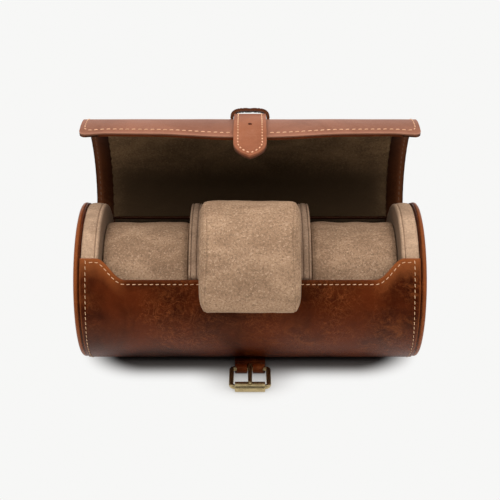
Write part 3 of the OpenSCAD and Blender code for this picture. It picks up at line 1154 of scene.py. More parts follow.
        # painted shade: a line in the seam, and the face towards the compartment, fading over its round edge
        painted_shade = bell(prof[:, 0] - 94.78, 0.12) + np.interp(np.arange(len(prof)), [5, 7.5], [1.5, 0.0])
        disc = lathe(prof * [side.value, 1], limit, self.turn, self.low)
        self.shop.piece(f"End_Block_{side}", [disc], Body.CASE, "trim_suede", f"end_block_{side}",
                        f"end_face_{side}", crisp=60, edge=np.repeat(painted_shade, len(self.turn)))

    def cap(self, side: Side) -> None:
        """Leather cap over one end, lighter along its rim for wear and a painted highlight, and the piping
        under it.

        Args:
            side: which end.
        """
        prof = np.array([
            (103.8, 0.5), (103.8, 30), (103.9, 46.6), (104.2, 48.6), (104.5, 49.35), (105.0, 49.75),
            (105.6, 49.95), (106.2, 49.9), (106.8, 49.62), (107.3, 49.0), (107.58, 47.9), (107.68, 45.5),
            (107.7, 40), (107.7, 12), (107.7, 0.5)])
        # lighter band round the rim: wear and a painted highlight
        worn = np.interp(np.arange(len(prof)), [4, 6, 9, 11], [0.0, 1.0, 1.0, 0.0])
        disc = lathe(prof * [side.value, 1], np.full((1, len(self.turn)), np.inf), self.turn, 0.9)
        self.shop.piece(f"End_Cap_{side}", [disc], Body.CASE, "body_leather", f"end_cap_{side}", crisp=60,
                        worn=np.repeat(worn, len(self.turn)))
        t, r = np.linspace(0, TURN, 16, endpoint=False)[None, :], self.piping
        x = side.value * (self.piping_x + r * np.cos(t))
        p = around(x, self.piping_r + r * np.sin(t), self.turn[:, None])
        p[..., 2] = np.maximum(p[..., 2], self.low - 1.05 * np.sin(t))
        self.shop.piece(f"End_Piping_{side}", [torus(p)], Body.CASE, "body_leather", f"end_piping_{side}",
                        crisp=70, edge=np.full(p.size // 3, 0.6))

    def divider(self, side: Side) -> None:
        """One padded divider: suede over a board, with a seam near each face; painted shade lies in the seams,
        and its suede is a darker copy of the ends' suede, as painted shade.

        Args:
            side: which end.
        """
        u = np.array([
            (0.15, 0.5), (0.1, 20), (0.05, 38), (0.05, 46.6), (0.10, 47.9), (0.26, 48.6), (0.6, 49.0),
            (1.1, 49.15), (1.5, 49.0), (1.66, 48.35), (1.74, 48.35), (1.9, 49.0), (2.4, 49.3), (3.5, 49.38)])
        far = u[-2::-1] * [-1, 1] + [S.divider_w, 0]
        prof = np.concatenate([u, far]) + [S.divider_in, 0]
        limit = self.round_r - (self.round_r - (S.inner_r - 0.12)) * self.wall_limit(S.rim_deg)[None, :]
        painted_shade = bell(np.abs(prof[:, 0] - (S.divider_in + S.divider_w / 2)) - 1.8, 0.14)
        disc = lathe(prof * [side.value, 1], limit, self.turn, S.body_r - S.inner_r + 0.1)
        # darker copy of the trim suede and painted shade in the seams
        self.shop.piece(f"Divider_{side}", [disc], Body.CASE, "divider_suede", f"divider_board_{side}",
                        f"divider_cover_{side}", crisp=60, edge=np.repeat(painted_shade, len(self.turn)))

    def seat(self, name: str, x0: float, x1: float) -> None:
        """Pad under a cushion.

        Its section is the tube's inside, cut off under a top that is crowned by
        3.6 - 1.6 (p / 35)^4 and falls at both ends.

        Args:
            name: the compartment's name.
            x0: left end.
            x1: right end.
        """
        reach, crown = 35.0, (3.6, 1.6)
        a, r = np.linspace(0, TURN, 96, endpoint=False), S.inner_r - 0.2
        p = np.clip(r * np.sin(a), -reach, reach)
        top = crown[0] - crown[1] * (p / reach) ** 4
        steps, falls = np.array([0.1, 0.35, 1.2]), [2.2, 0.9, 0.25]
        x = np.concatenate([x0 + steps, np.linspace(x0 + 3, x1 - 3, 12), x1 - steps[::-1]])
        fall = np.array(falls + [0.0] * 12 + falls[::-1])[:, None]
        n = np.minimum(np.minimum(r * np.cos(a), top)[None, :], top[None, :] - fall)
        rings = CushionShape(0.0, 1.0).world(x[:, None], p[None, :], n)
        rings[..., 2] = np.maximum(rings[..., 2], S.body_r - S.inner_r + 0.15)
        obj = self.shop.piece(f"Pad_{name}", [loft(rings)], Body.CASE, "lining_suede", f"seat_{name}", crisp=50)

    def build(self) -> None:
        """Builds the whole body."""
        self.leather()
        self.lining()
        self.seams()
        for side in Side:
            self.block(side)
            self.cap(side)
            self.divider(side)
        wall = S.divider_in + S.divider_w
        self.seat("left", -S.pad_end, -wall)
        self.seat("middle", -S.divider_in, S.divider_in)
        self.seat("right", wall, S.pad_end)


# ---- cushions ----------------------------------------------------------------

@dataclass
class CushionShape:
    """Place and outline of one cushion.

    In the cushion's own frame p runs up its face and n out of it. The outline
    is a curved face and a flat back, joined by rounded ends.
    """

    x: float
    half: float
    out: float = 0.0
    up: float = 0.0
    tilt: float = 39.0
    height: float = 70.3
    depth: float = 34.4
    face_r: float = 38.5
    corner: float = 5.0
    back: float = 6.0

    @property
    def middle(self) -> float:
        """The middle of the depth, along n."""
        return self.face_r - self.depth / 2

    def world(self, x: Array, p: Array, n: Array) -> Array:
        """Points of the cushion's frame in the case's frame.

        Args:
            x: place across the cushion.
            p: height up its face.
            n: distance out of its face.

        Returns:
            The points, turned by the tilt and moved.
        """
        s, c = math.sin(math.radians(self.tilt)), math.cos(math.radians(self.tilt))
        p, n = p + self.up, n + self.out
        return stack(x + self.x, p * s - n * c, S.axis_z + p * c + n * s)

    def outline(self, count: int) -> tuple[Array, Array]:
        """Closed outline, evenly spaced: arcs of circles, each centre + r (sin t, cos t).

        Args:
            count: number of points.

        Returns:
            p and n of each point, going round once.
        """
        h, r, low, corner, back = self.height / 2, self.face_r, self.face_r - self.depth, self.corner, self.back
        end = math.asin((h - corner) / (r - corner))
        out = (r - corner) * math.cos(end)
        arcs = ((0.0, 0.0, r, np.linspace(-end, end, 70)),
                (h - corner, out, corner, np.linspace(end, QUARTER, 12)[1:]),
                (h - back, low + back, back, np.linspace(QUARTER, HALF_TURN, 12)),
                (back - h, low + back, back, np.linspace(HALF_TURN, 3 * QUARTER, 12)),
                (corner - h, out, corner, np.linspace(-QUARTER, -end, 12)[:-1]))
        line = np.concatenate([np.stack([p + q * np.sin(t), n + q * np.cos(t)], -1) for p, n, q, t in arcs])
        line = np.concatenate([line, line[:1]])
        d = np.concatenate([[0], np.cumsum(np.hypot(*np.diff(line, axis=0).T))])
        at = np.linspace(0, d[-1], count, endpoint=False)
        return np.interp(at, d, line[:, 0]), np.interp(at, d, line[:, 1])


@dataclass
class Cushion:
    """One stuffed suede cushion: a front panel sewn to a domed panel at each side."""

    shop: Workshop
    side: str
    body: Body
    shape: CushionShape
    nodes: list[str]
    seed: int
    dome: float = 3.5
    reach: float = 10.0
    waist: float = 1.9
    sunk: float = 0.5
    shade: float = 0.0
    grow: float = 0.9
    points: int = 132
    most: float = 2.6
    steps: int = 20

    @property
    def seam(self) -> float:
        """Distance of each seam from the middle."""
        return self.shape.half - self.dome

    def dome_x(self, inset: Array) -> Array:
        """Place over the dome: x = seam + dome (1 - (1 - inset / reach)^2.7)."""
        return self.seam + self.dome * (1 - np.clip(1 - inset / self.reach, 0, 1) ** 2.7)

    def stations(self) -> tuple[Array, Array]:
        """Places across the cushion and how far each ring is drawn in.

        Each side panel is a dome, and the front panel swells a little between the
        two seams: 0.12 (1 - cos(pi/2 x / seam)).

        Returns:
            Places and insets, from left to right.
        """
        seam = self.seam
        i = np.array([16.6, 15.2, 13.2, 11.2, 9.4, 7.8, 6.4, 5.2, 4.1, 3.2, 2.4, 1.8, 1.35, 1.05])
        near = np.array([(0.14, 0.70), (0.05, 0.70), (-0.05, 0.70), (-0.14, 0.62), (-0.45, 0.52), (-1.2, 0.38),
                         (-2.6, 0.24)]) + [seam, 0]
        near[:4, 1] += np.array([0.30, 0.55, 0.55, 0.32]) * self.sunk
        mid = np.linspace(4.8 - seam, seam - 4.8, 17)
        left = np.concatenate([np.stack([-self.dome_x(i), i], -1), near * [-1, 1]])
        front = np.stack([mid, 0.12 - 0.12 * np.cos(mid / seam * QUARTER)], -1)
        return tuple(np.concatenate([left, front, left[::-1] * [-1, 1]]).T)

    def rings(self, x: Array, inset: Array, count: int) -> Array:
        """Rings in the cushion's own frame: its outline drawn in and spread along x.

        The seam runs nearer the middle half way up: x falls by waist cos^2 of the
        height there, less and less away from the seam.

        Args:
            x: place of each ring.
            inset: how far each is drawn in.
            count: points of a ring.

        Returns:
            Points, (len(x), count, 3).
        """
        p, n = self.shape.outline(count)
        h, seam, middle = self.shape.height / 2, self.seam, self.shape.middle
        k = inset[:, None]
        p = p[None, :] * (1 - k / h)
        n = middle + (n[None, :] - middle) * (1 - k / (self.shape.depth / 2))
        far = np.abs(x)[:, None]
        share = np.where(far < seam, far / seam, np.clip(1 - k / self.reach, 0, 1) ** 1.6)
        high = np.cos(np.clip(p / h, -1, 1) * QUARTER) ** 2
        return stack(x[:, None] - np.sign(x)[:, None] * self.waist * share * high, p, n)

    def place(self, x: Array, inset: Array) -> Array:
        """Distance of each ring from the middle: along the front panel, then in over the dome."""
        return np.sign(x) * np.where(np.abs(x) >= self.seam - 1e-6, self.seam + inset, np.abs(x))

    def filled(self, rings: Array, held: Array) -> Array:
        """Cloth with pressure and no gravity, run over a cover.

        Args:
            rings: the cover at rest.
            held: numbers of the points that stay.

        Returns:
            The movement of each point of the rings, in millimetres.
        """
        obj = make("Cover", [loft(rings)], 40.0)
        obj.vertex_groups.new(name="held").add(held.tolist(), 1.0, "REPLACE")
        cloth = obj.modifiers.new("Cloth", "CLOTH")
        c = cloth.settings
        c.quality, c.mass, c.bending_stiffness = 5, 0.3, 0.6
        c.tension_stiffness = c.compression_stiffness = 15
        c.use_pressure, c.uniform_pressure_force, c.vertex_group_mass = True, 12.0, "held"
        c.effector_weights.gravity = 0.0
        cloth.point_cache.frame_start, cloth.point_cache.frame_end = 1, self.steps
        scene = bpy.context.scene
        for step in range(1, self.steps + 1):
            scene.frame_set(step)
        mesh = obj.evaluated_get(bpy.context.evaluated_depsgraph_get()).to_mesh()
        after = np.empty(len(mesh.vertices) * 3)
        mesh.vertices.foreach_get("co", after)
        bpy.data.meshes.remove(obj.data)
        scene.frame_set(1)
        return (after / MM)[:rings.size].reshape(rings.shape) - rings

    def swell(self, x: Array, inset: Array) -> Array:
        """How far the cover moves when the cushion is filled.

        An evenly spaced cover, a little small, is held at its two seams and blown
        up. The finer rings take its movement, held to a limit, from the rings and
        points beside them.

        Args:
            x: place of each ring.
            inset: how far each is drawn in.

        Returns:
            Movements, (len(x), points, 3).
        """
        i = np.array([15.0, 12.0, 9.0, 6.2, 3.6])
        cx = np.concatenate([self.dome_x(i), np.linspace(self.seam, 0, 11)])
        ci = np.concatenate([i, [1.0], np.full(10, 0.1)]) + self.grow
        cx, ci = np.concatenate([-cx, cx[-2::-1]]), np.concatenate([ci, ci[-2::-1]])
        count = self.points // 2
        move = self.filled(self.rings(cx, ci, count),
                           np.flatnonzero(np.repeat(np.isclose(np.abs(cx), self.seam), count)))
        size = np.linalg.norm(move, axis=-1, keepdims=True)
        LOG.info("cover of %s: moved %.2f mm, %.2f at most", self.side, size.mean(), size.max())
        move = move * np.minimum(1.0, self.most / np.maximum(size, 1e-6))
        at = np.interp(self.place(x, inset), self.place(cx, ci), np.arange(len(cx)))
        low = np.clip(np.floor(at).astype(int), 0, len(cx) - 2)
        t = (at - low)[:, None, None]
        rows = move[low] * (1 - t) + move[low + 1] * t
        return np.stack([rows, (rows + np.roll(rows, -1, 1)) / 2], 2).reshape(len(x), self.points, 3)

    def build(self) -> None:
        """Makes the stuffed form: outline, the cloth's swelling, then seams, puckers, and painted shade along
        the seams and towards the sides.
        """
        x, inset = self.stations()
        shape, off = self.shape, np.abs(x) - self.seam
        base = self.rings(x, inset + self.grow, self.points) + self.swell(x, inset + self.grow)
        wave = np.arange(self.points)[None, :] * 1.6 * TURN / 7.3 + self.seed + 2 * ripple(base, 16, self.seed)
        pucker = 0.20 * bell(off, 3.4)[:, None] * np.sin(wave)
        soft = 0.45 * ripple(base, 27, self.seed + 3) + 0.14 * ripple(base, 11, self.seed + 5)
        d = (base - [0, 0, shape.middle]) * [0, 1 / 35, 1 / 17.2]
        d /= np.maximum(np.linalg.norm(d, axis=-1, keepdims=True), 0.3)
        x, p, n = np.moveaxis(base + d * (pucker + soft - 0.12)[..., None], -1, 0)
        rings = shape.world(np.clip(x, -shape.half - 0.1, shape.half + 0.1), p,
                            np.maximum(n, shape.face_r - shape.depth + 0.05))
        # painted shade: a dark line along each seam, and towards the side panels where shade is set
        depth = self.sunk * bell(off, 0.10) + self.shade * ease((off + 3.5) / 4)
        obj = self.shop.piece(f"Cushion_{self.side}", [loft(rings)], self.body, "cushion_suede", *self.nodes,
                              crisp=70, edge=np.repeat(depth, self.points))


# ---- the lid -----------------------------------------------------------------

@dataclass
class Lid:
    """Curved lid: leather outside, suede and leather margins inside."""

    shop: Workshop
    top_deg: float = 149.6
    corner: float = 4.0
    rows: int = 70
    lift: float = 1.8
    shade: float = 1.7
    shade_top: float = 119.0
    shade_run: float = 23.0
    seam_in: float = 4.2
    seam_turn: float = 4.5
    stitch: float = 3.8

    @property
    def split(self) -> float:
        """Where the side margins begin."""
        return S.lid_half - S.margin

    @property
    def centre(self) -> Array:
        """Centre of the open lid's curve."""
        return opened(stack(0.0, *S.lid_centre))

    def corner_xs(self) -> Array:
        """Places over a rounded corner."""
        return S.lid_half - self.corner + self.corner * np.sin(np.linspace(0, QUARTER, 10))[1:]

    def edge_deg(self, x: Array) -> Array:
        """Angle of the free edge.

        It runs 0.9 degrees past the nominal edge at the sides and 2.3 in the
        middle, by a cosine squared, and is round at the corners.

        Args:
            x: places along the lid.

        Returns:
            The angle at each place.
        """
        over = np.clip(np.abs(x) - (S.lid_half - self.corner), 0, self.corner)
        up = self.corner - np.sqrt(np.maximum(self.corner ** 2 - over ** 2, 0))
        sag = 0.9 + 1.4 * np.cos(np.clip(x / S.lid_half, -1, 1) * QUARTER) ** 2
        return S.lid_edge - sag + np.degrees(up / S.lid_out)

    def shaped(self, x: Array, r: Array, deg: Array) -> Array:
        """Points of the open lid with its wear.

        The sides splay: x grows by 1.35% half way up, by nothing at the free edge
        and by 0.8% at the hinge. The free edge lifts up to 1.8 mm on either side
        of the strap and dies away over 30 degrees.

        Args:
            x: place along the closed lid.
            r: distance from the curve's centre.
            deg: angle over the front horizontal, lid closed.

        Returns:
            The points.
        """
        g = np.clip((deg - S.lid_edge) / (self.top_deg - S.lid_edge), 0, 1)
        splay = 0.0135 * np.where(g < 0.5, ease(g * 2), 1 - 0.4 * ease(g * 2 - 1))
        ax = np.abs(x)
        side = ease((ax - 13) / 42) * (1 - 0.75 * ease((ax - 84) / 22))
        lift = self.lift * side * bell(deg - S.lid_edge, 17.0)
        return opened(around(x * (1 + splay), r + lift, deg, S.lid_centre))

    def plate(self, r0: float, r1: float, x: Array, start: Array, stop: float, wave: float = 0.0,
              rows: int = 70) -> Surface:
        """A bent plate between two radii.

        Args:
            r0: inner radius.
            r1: outer radius.
            x: places along the lid.
            start: angle of the front edge at each place.
            stop: angle of the back edge.
            wave: depth of the surface's unevenness.
            rows: points round the curve.

        Returns:
            Points and face arrays.
        """
        v = np.linspace(0, 1, rows)[None, :]
        deg = start[:, None] + (stop - start)[:, None] * v
        sides = [self.shaped(x[:, None], r, deg) for r in (r1, r0)]
        for g in sides if wave else ():
            g -= unit(outward(g, self.centre)) * (wave * (1 + ripple(g, 34, 21)) / 2)[..., None]
        return slab(*sides)

    def leather(self) -> None:
        """The outside, its free edge lighter for wear and a painted highlight, its inside face darker as
        painted shade.
        """
        x = mirrored(np.concatenate([np.linspace(0, S.lid_half - self.corner, 60), self.corner_xs()]))
        plate = self.plate(S.lid_mid, S.lid_out, x, self.edge_deg(x), self.top_deg, 0.15)
        # the free edge's lighter rows: wear and a painted highlight; the inside face is marked darker, painted
        # shade
        worn = np.zeros((2, len(x), self.rows))
        worn[0, :, :2] = 1.0, 0.15
        self.shop.piece("Lid_Leather", [plate], Body.LID, "lid_leather", "lid_leather", bevel=(0.45, 3),
                        edge=np.repeat([0.0, 1.25], len(x) * self.rows), worn=worn)

    def lining(self) -> None:
        """The facing along the front, and the suede, with painted shade low down and away from the margins."""
        x = np.linspace(-self.split, self.split, 110)
        edge = S.lid_edge + S.facing
        plate = self.plate(S.lid_in + 0.05, S.lid_mid, x, self.edge_deg(x), edge + 1, rows=10)
        self.shop.piece("Lid_Front_Facing", [plate], Body.LID, "facing_leather", "lid_front_facing",
                        bevel=(0.3,))
        plate = self.plate(S.lid_in, S.lid_mid, x, np.full_like(x, edge + 1.2), self.top_deg - 1.0)
        across, _, height = plate[0].T
        # painted shade on the suede: darker low down, less of it next to the margins
        side = 1 - 0.35 * bell(self.split - np.abs(across), 6.0)
        self.shop.piece("Lid_Lining", [plate], Body.LID, "lid_suede", "lid_lining", bevel=(0.35,),
                        edge=self.shade * ease((self.shade_top - height) / self.shade_run) * side)

    def margins(self) -> None:
        """A leather band inside each side, with a painted highlight near its edge and painted shade next to the
        suede.
        """
        run = np.concatenate([np.linspace(self.split + 0.2, S.lid_half - self.corner, 10),
                              self.corner_xs() - 0.1])
        for side in Side:
            x = np.sort(side.value * run)
            plate = self.plate(S.lid_in + 0.05, S.lid_mid, x, self.edge_deg(x), self.top_deg)
            # a painted highlight near the outer edge, and painted shade next to the suede lining
            painted_highlight = 0.75 * bell(S.lid_half - 2.6 - np.abs(x), 1.7)
            shade = 1.1 * bell(np.abs(x) - self.split, 5.0)
            worn, edge = (np.tile(np.repeat(value, self.rows), 2) for value in (painted_highlight, shade))
            self.shop.piece(f"Lid_Margin_{side}", [plate], Body.LID, "margin_leather", f"lid_margin_{side}",
                            bevel=(0.3,), worn=worn, edge=edge)

    def seams(self) -> None:
        """Stitches along the front edge and up both sides, outside and faintly inside."""
        turn, half = self.seam_turn, S.lid_half - 2.8
        a = np.linspace(0, QUARTER, 10)[1:]
        run = np.linspace(S.strap_w / 2 + 1.5, half - turn, 90)
        x = np.concatenate([run, half - turn + turn * np.sin(a), np.full(70, half)])
        base = self.edge_deg(run) + math.degrees(self.seam_in / S.lid_out)
        up = base[-1] + np.degrees(turn * (1 - np.cos(a)) / S.lid_out)
        deg = np.concatenate([base, up, np.linspace(up[-1] + 0.5, self.top_deg - 8, 70)])
        outside, inside = [], []
        for side in Side:
            p = self.shaped(side.value * x, S.lid_out - 0.1, deg)
            outside.append(thread(p, outward(p, self.centre), self.stitch, 0.27))
            p = self.shaped(side.value * x, S.lid_in + 0.1, deg)[len(a) + len(run):]
            inside.append(thread(p, -outward(p, self.centre), self.stitch, 0.16))
        self.shop.piece("Lid_Stitching", outside, Body.LID, "pale_thread", "lid_stitching")
        self.shop.piece("Lid_Inner_Stitching", inside, Body.LID, "dark_thread")

    def build(self) -> None:
        """Builds the lid's layers and its stitching."""
        self.leather()
        self.lining()
        self.margins()
        self.seams()


@dataclass
class Hinge:
    """Strip of leather across the back of the hinge, and the fold inside it."""

    shop: Workshop
    half: float = 103.4
    seam_half: float = 100.4
    thick: float = 1.0
    pull: float = 4.0
    fold_half: float = 91.8
    fold_r: float = 1.55

    def line(self) -> tuple[Array, Array]:
        """Section of the strip, from the body's back wall over the hinge to the lid.

        Between the two walls runs a cubic curve with their directions at its ends:
        (2t^3 - 3t^2 + 1) p0 + (t^3 - 2t^2 + t) d0 + (3t^2 - 2t^3) p1 + (t^3 - t^2) d1.

        Returns:
            Y and Z of its points, and the outward directions.
        """
        body = around(0.0, S.body_r + 0.05, np.linspace(180 - 12, 180 - 24.8, 14))[:, 1:]
        lid = opened(around(0.0, S.lid_out + 0.05, 180 - np.linspace(31.2, 41, 12), S.lid_centre))[:, 1:]
        d0, d1 = self.pull * unit(body[-1] - body[-2]), self.pull * unit(lid[1] - lid[0])
        t = np.linspace(0, 1, 14)[1:-1, None]
        over = ((2 * t ** 3 - 3 * t ** 2 + 1) * body[-1] + (t ** 3 - 2 * t ** 2 + t) * d0
                + (-2 * t ** 3 + 3 * t ** 2) * lid[0] + (t ** 3 - t ** 2) * d1)
        line = np.concatenate([body, over, lid])
        d = np.gradient(line, axis=0)
        n = unit(np.stack([d[:, 1], -d[:, 0]], -1))
        return line, n * np.sign(n[0] @ (line[0] - AXIS[1:]))

    def build(self) -> None:
        """Bends one strip over the hinge, sews its two edges and rolls the fold inside it."""
        hy, hz = S.hinge
        line, n = self.line()
        top, x = line + n * self.thick, np.linspace(-self.half, self.half, 90)[:, None]
        outer, inner = (stack(x, q[None, :, 0], q[None, :, 1]) for q in (top, line))
        bend = Bend((Body.CASE, Body.LID), (np.array([0, hy, hz - 3.0]), np.array([0, hy + 1.5, hz + 3.0])))
        self.shop.piece("Hinge_Leather", [slab(outer, inner)], bend, "body_leather", bevel=(0.35,),
                        edge=np.repeat([0.0, 1.2], outer.size // 3))
        x = np.linspace(-self.seam_half, self.seam_half, 100)
        for name, k, body in (("Hinge_Stitching_Lower", 2, Body.CASE), ("Hinge_Stitching_Upper", -3, Body.LID)):
            self.shop.piece(name, [thread(stack(x, *top[k]), stack(0 * x, *n[k]))], body, "thread")
        x = np.linspace(-self.fold_half, self.fold_half, 60)
        roll = tube(stack(x, hy, hz), self.fold_r, np.array([0.0, 1.0, 0.0]), 16)
        # the fold wears the near-black lining suede: painted shade
        self.shop.piece("Hinge_Fold", [roll], Body.CASE, "lining_suede", "hinge_fold", crisp=60)


@dataclass
class ClosureStrap:
    """Two-ply strap on the lid with its keeper and its pointed tab."""

    shop: Workshop
    span_deg: float = 52.0
    tab: float = 25.2
    tip: float = 14.0
    seam_in: float = 2.6
    keeper_deg: float = 41.5
    keeper_gap: float = 2.2
    keeper_high: float = 6.7
    keeper_t: float = 1.25
    keeper_half: float = 4.0
    hole_deg: float = 8.0

    @property
    def r(self) -> float:
        """Radius along which the strap's length is counted."""
        return S.lid_out + S.ply

    def path(self, lift: float, length: Array) -> tuple[Array, Array]:
        """Centre line over the lid and out past its edge.

        It follows the lid's curve up to the edge and runs on straight from there,
        and rises 0.8 mm where it passes under the keeper.

        Args:
            lift: height over the lid's outside.
            length: distances from the lid's edge, positive out along the tab.

        Returns:
            The points, and the outward directions, on the open lid.
        """
        a = np.radians(S.lid_edge + np.degrees(np.maximum(-length, 0) / self.r))
        under = 0.8 * bell(length + self.r * math.radians(self.keeper_deg), 9.0) * (lift > 0)
        cy, cz = S.lid_centre
        over, out, e = S.lid_out + lift + under, np.maximum(length, 0), math.radians(S.lid_edge)
        y = cy - over * np.cos(a) - out * math.sin(e)
        z = cz + over * np.sin(a) - out * math.cos(e)
        hinge = stack(0.0, *S.hinge)
        return opened(stack(0.0, y, z)), opened(stack(0.0, -np.cos(a), np.sin(a)) + hinge) - hinge

    def half_width(self, length: Array, inset: float = 0.0) -> Array:
        """Half width at each length: straight, then w/2 (1 - t^2.3)^0.85 to the point."""
        t = np.clip((length - (self.tab - self.tip)) / (self.tip - inset), 0, 1)
        return (S.strap_w / 2 - inset) * (1 - t ** 2.3) ** 0.85

    def point(self, end: float, count: int) -> Array:
        """Lengths from the start of the point to an end, closer together towards it."""
        start = self.tab - self.tip
        return start + (end - start) * np.sin(np.linspace(0, QUARTER, count))

    @property
    def bend(self) -> Bend:
        """The two ends of the fold at the lid's edge, from the lid to the tab."""
        ends, _ = self.path(S.ply, np.array([-2.5, 2.5]))
        return Bend((Body.LID, Body.TAB), (ends[0], ends[1]))

    def ply(self, name: str, low: float, high: float, slot: str, *nodes: str) -> None:
        """One ply, from behind the keeper to the point.

        Args:
            name: the piece's name.
            low: height of its underside over the lid.
            high: height of its outside.
            slot: its finish.
            nodes: CAD nodes it stands for.
        """
        back = -self.r * math.radians(self.span_deg)
        v = np.concatenate([np.linspace(back, 0, 60), np.linspace(0, self.tab - self.tip, 14)[1:],
                            self.point(self.tab - 0.02, 22)[1:]])
        x = np.linspace(-1, 1, 17)[:, None] * np.maximum(self.half_width(v), 0.25)
        grids = [stack(x, p[:, 1], p[:, 2]) for p in (self.path(lift, v)[0] for lift in (high, low))]
        self.shop.piece(name, [slab(*grids)], self.bend, slot, *nodes, bevel=(0.35, 3),
                        edge=np.repeat([0.0, 0.5], x.size))

    def keeper(self) -> None:
        """Leather loop over the strap: a band bent into a square arch.

        The arch is x = w cos^0.52 a and z = 0.6 + h sin^0.72 a over straight feet.
        """
        a = np.linspace(0, QUARTER, 40)[1:]
        along = np.linspace(-self.keeper_half, self.keeper_half, 9)[None, :]
        e = math.radians(S.lid_edge + self.keeper_deg)
        cy, cz = S.lid_centre
        grids = []
        for off in (0.0, self.keeper_t):
            w, h = S.strap_w / 2 + self.keeper_gap - off, self.keeper_high - 0.6 - off
            x = np.concatenate([np.full(6, w), w * np.cos(a) ** 0.52])
            z = np.concatenate([np.linspace(-1.2, 0.6, 6), 0.6 + h * np.sin(a) ** 0.72])
            x, r = np.concatenate([x, -x[-2::-1]])[:, None], S.lid_out + np.concatenate([z, z[-2::-1]])[:, None]
            grids.append(opened(stack(x, cy - r * math.cos(e) + along * math.sin(e),
                                      cz + r * math.sin(e) + along * math.cos(e))))
        # darker: the band's cut ends, and the whole inside of the loop as painted shade
        edge = np.full((2, *grids[0].shape[:2]), 1.25)
        edge[0, :, 1:-1] = 0.0
        self.shop.piece("Strap_Keeper", [slab(*grids)], Body.LID, "strap_leather", "strap_keeper",
                        bevel=(0.35, 2, 60), edge=edge)

    def stitching(self) -> None:
        """One seam down one side of the strap, round the point and back."""
        back = -self.r * math.radians(self.span_deg - 1.5)
        v = np.concatenate([np.linspace(back, self.tab - self.tip, 90)[:-1],
                            self.point(self.tab - self.seam_in, 30)])
        p, o = self.path(2 * S.ply - 0.05, v)
        side = self.half_width(v, self.seam_in)[:, None] * ACROSS
        line = np.concatenate([p - side, (p + side)[-2::-1]])
        n = np.concatenate([o, o[-2::-1]])
        self.shop.piece("Strap_Stitching", [thread(line, n, 3.1, 0.36, 0.50)], self.bend, "pale_thread")

    def hole(self) -> None:
        """The prong's hole: a thin disc on the strap, dark in its middle as painted shade for the well, with a
        pressed rim; a profile turned about its middle.
        """
        c, o = (q[0] for q in self.path(2 * S.ply, np.array([-self.r * math.radians(self.hole_deg)])))
        a = np.linspace(0, TURN, 24, endpoint=False)[None, :, None]
        prof = np.array([(0.05, 0.10), (0.7, 0.10), (0.95, 0.12), (1.15, 0.14), (1.3, 0.02), (1.3, -0.3),
                         (0.05, -0.3)])[:, None]
        ring = c + prof[..., :1] * (np.cos(a) * ACROSS + np.sin(a) * np.cross(o, ACROSS)) + prof[..., 1:] * o
        self.shop.piece("Strap_Hole", [loft(ring)], Body.LID, "facing_leather", crisp=60,
                        edge=np.repeat([1.0, 1.0, 0.5, 0.0, 0.0, 0.0, 0.0], a.size))

    def build(self) -> None:
        """Builds the strap's pieces."""
        self.ply("Strap_Top_Ply", S.ply, 2 * S.ply, "strap_leather", "strap_top", "tab_top")
        self.ply("Strap_Backing_Ply", 0.05, S.ply - 0.04, "backing_leather", "strap_backing", "tab_backing")
        self.keeper()
        self.stitching()
        self.hole()


# ---- the buckle --------------------------------------------------------------

